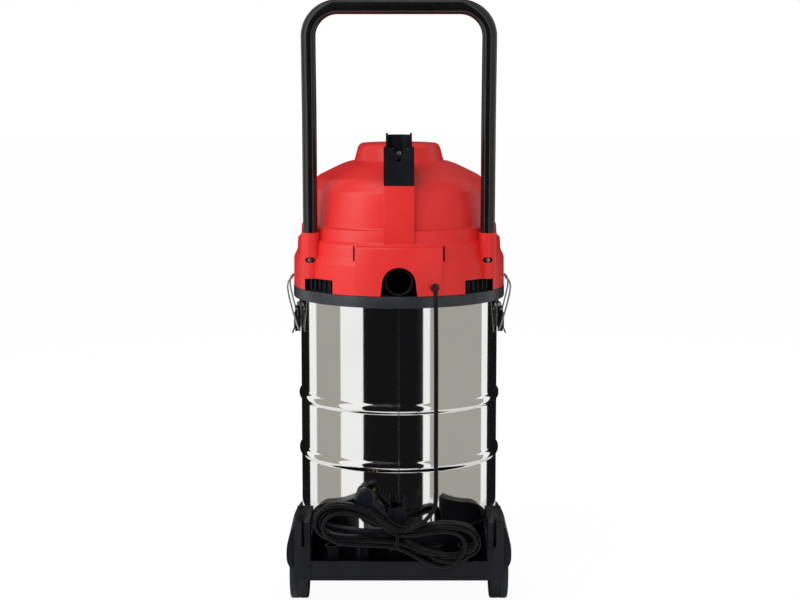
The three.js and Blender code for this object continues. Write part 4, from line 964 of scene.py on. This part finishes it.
def leg_rod(name, radius, s, low, high):
    return rod(name, radius, (s * handle_x, handle_lean(low), low), (s * handle_x, handle_lean(high), high), 48)


for _, s in sides:
    socket = leg_rod("socket", 15.7, s, socket_level, 102)
    soften(socket, 1.2, 40, 3)
    join_to(red_cover, socket)
    cut_from(red_cover, leg_rod("bore", 12.8, s, 26, 132))
    low_x, high_x = s * handle_x - 3.6, s * handle_x + 3.6
    for x in (low_x, high_x):
        start = (x, handle_y + 6, leg_screw_level)
        cut_from(red_cover, rod("oval", 4.6, start, (x, handle_y + 40, leg_screw_level), 32))
    cut_from(red_cover, block("oval", (low_x, handle_y + 6, 50.4), (high_x, handle_y + 40, 59.6)))
red_cover.data.transform(Matrix.Translation((0, 0, head_level * mm)))
soften(red_cover, 0)
fit_piece(red_cover, red_abs, "head", "red_plastic", "head_cover")

# Vents, blower outlet and holster. Black mouldings in the cover: slatted grilles at its
# sides, a hose outlet in the hood's arch, and a cup on the rib that holds a tube.
for side, _ in sides:
    vent = from_frame(f"side_vent_{side}", f"vent_grille_{side}", 0.3)
    fit_piece(vent, black_moulded, "head", "black_plastic", f"vent_grille_{side}")
outlet_level, cup_level, keyhole_level = 561.5, 800.5, 763.7
outlet_line = [
    (20.5, 0), (23, 0), (23, 44), (23.6, 44.6), (23.6, 48.6), (22.8, 49.8), (21.6, 50), (20.8, 49.2),
    (20.5, 47.5),
]
outlet = lathe("hose_outlet", outlet_line, closed=True, steps=72)
place_along(outlet, (0, 134, outlet_level), (0, 1, 0))
outlet_back = block("outlet_back", (-36.5, 158, 537.3), (36.5, 161, 586.5))
cut_from(outlet_back, rod("hole", 21, (0, 130, outlet_level), (0, 190, outlet_level), 64))
join_to(outlet, outlet_back)
soften(outlet, 0.3, 35)
fit_piece(outlet, black_moulded, "head", "black_plastic", "blower_port")
holster = from_frame("tube_cup", "tube_holster", 0)
cut_from(
    holster,
    rod("lip_room", 23.5, (0, 168, cup_level), (0, 180, cup_level), 96),
    block("keyhole", (-3.7, 173, keyhole_level), (3.7, 178, 773)),
    rod("keyhole_end", 3.7, (0, 173, keyhole_level), (0, 178, keyhole_level), 24),
)
soften(holster, 0.6, 32)
lip_arc = [math.radians(a) for a in range(218, 323, 6)]
lip_line = [(23.3 * math.cos(a), 174.2, cup_level + 23.3 * math.sin(a)) for a in lip_arc]
cup_lip = wire("cup_lip", lip_line, 0.8, 10)
fit_piece(cup_lip, black_moulded, "head", "black_plastic")
fit_piece(holster, black_moulded, "head", "black_plastic", "tube_holster")
cup_screw = pan_head("cup_screw", (0, 175.3, 777), (0, 1, 0), 3.6, 4.5)
fit_piece(cup_screw, zinc, "head", "zinc_steel", "holster_screw")

# Handle. One bent steel tube in gloss black enamel: two legs that stand in the cover's
# sockets, a bend backwards, and a top bar with round corners.


def around_corner(before, corner, after, radius, steps=14):
    """Points round a corner between two straight runs, on an arc of the given radius."""
    a, b, c = Vector(before), Vector(corner), Vector(after)
    u, v = (a - b).normalized(), (c - b).normalized()
    half_angle = u.angle(v) / 2
    reach = radius / math.tan(half_angle)
    middle = b + (u + v).normalized() * (radius / math.sin(half_angle))
    first, last = b + u * reach - middle, b + v * reach - middle
    sweep = first.angle(last)
    axis = first.cross(last).normalized()
    return [middle + Matrix.Rotation(sweep * i / steps, 3, axis) @ first for i in range(steps + 1)]


foot = Vector((handle_x, handle_lean(27), head_level + 27))
knee = Vector((handle_x, handle_lean(knee_level), head_level + knee_level))
peak = Vector((handle_x, handle_lean(knee_level) + 28, head_level + 482.5))
crown_middle = Vector((0, peak.y, peak.z))
right_leg = [foot] + around_corner(foot, knee, peak, 160) + around_corner(knee, peak, crown_middle, 50, 20)
handle_line = right_leg + [Vector((-p.x, p.y, p.z)) for p in right_leg[::-1]]
push_handle = wire("push_handle", handle_line, 12.5, 40)
fit_piece(push_handle, gloss_enamel, "head", "black_enamel", "handle_tube")
for side, s in sides:
    seat = (s * handle_x, handle_lean(leg_screw_level) + 12.8, head_level + leg_screw_level)
    leg_screw = pan_head(f"leg_screw_{side}", seat, (0, 1, 0), 3.6, 10)
    fit_piece(leg_screw, zinc, "head", "zinc_steel", f"handle_screw_{side}")

# Switch. A moulded red rocker that tips on its own pin, in a black frame that is pressed
# into a hole in the front of the cover.
switch_frame = from_frame("switch_frame", "switch_housing", 0.8)
fit_piece(switch_frame, black_moulded, "head", "black_plastic", "switch_housing")
rocker_key = from_frame("rocker_key", "switch_rocker", 0.3)
fit_piece(rocker_key, red_abs, "rocker", "red_plastic", "switch_rocker")

# Motor, fan, float and filter. They sit in the head and hang from it: a fan under the
# plate, a motor above it, a float in its cage, and a pleated cartridge round the cage.
pressed_iron = finish(
    "iron_laminations", (0.16, 0.16, 0.17), (0.26, 0.26, 0.27), (0.4, 0.6),
    metal=1.0, speckle=200,
)
float_white = finish("float_white", (0.74, 0.72, 0.64), (0.80, 0.78, 0.71), (0.38, 0.5))
paper = finish(
    "filter_paper", (0.66, 0.61, 0.48), (0.76, 0.72, 0.60), (0.85, 0.95),
    grain=1500, bump=0.5, speckle=120,
)
for name, node, width, material, body, slot in [
    ("fan_case", "fan_housing", 0.6, black_moulded, "head", "black_plastic"),
    ("motor_cushion", "motor_mount", 0.3, soft_rubber, "head", "seal_rubber"),
    ("motor_case", "motor_housing", 0.5, black_moulded, "head", "black_plastic"),
    ("motor_iron", "motor_stator", 0.5, pressed_iron, "head", "laminations"),
    ("motor_shaft", "motor_rotor", 0.3, pressed_iron, "rotor", "laminations"),
    ("fan_wheel", "impeller", 0.2, zinc, "rotor", "zinc_steel"),
    ("float_basket", "float_cage", 0.4, black_moulded, "head", "black_plastic"),
    ("float_cup", "float", 0.8, float_white, "float", "float_plastic"),
    ("pleated_cartridge", "cartridge_filter", 0.25, paper, "filter", "filter_paper"),
    ("cartridge_plate", "filter_retainer", 0.5, black_moulded, "filter", "black_plastic"),
]:
    fit_piece(from_frame(name, node, width), material, body, slot, node)
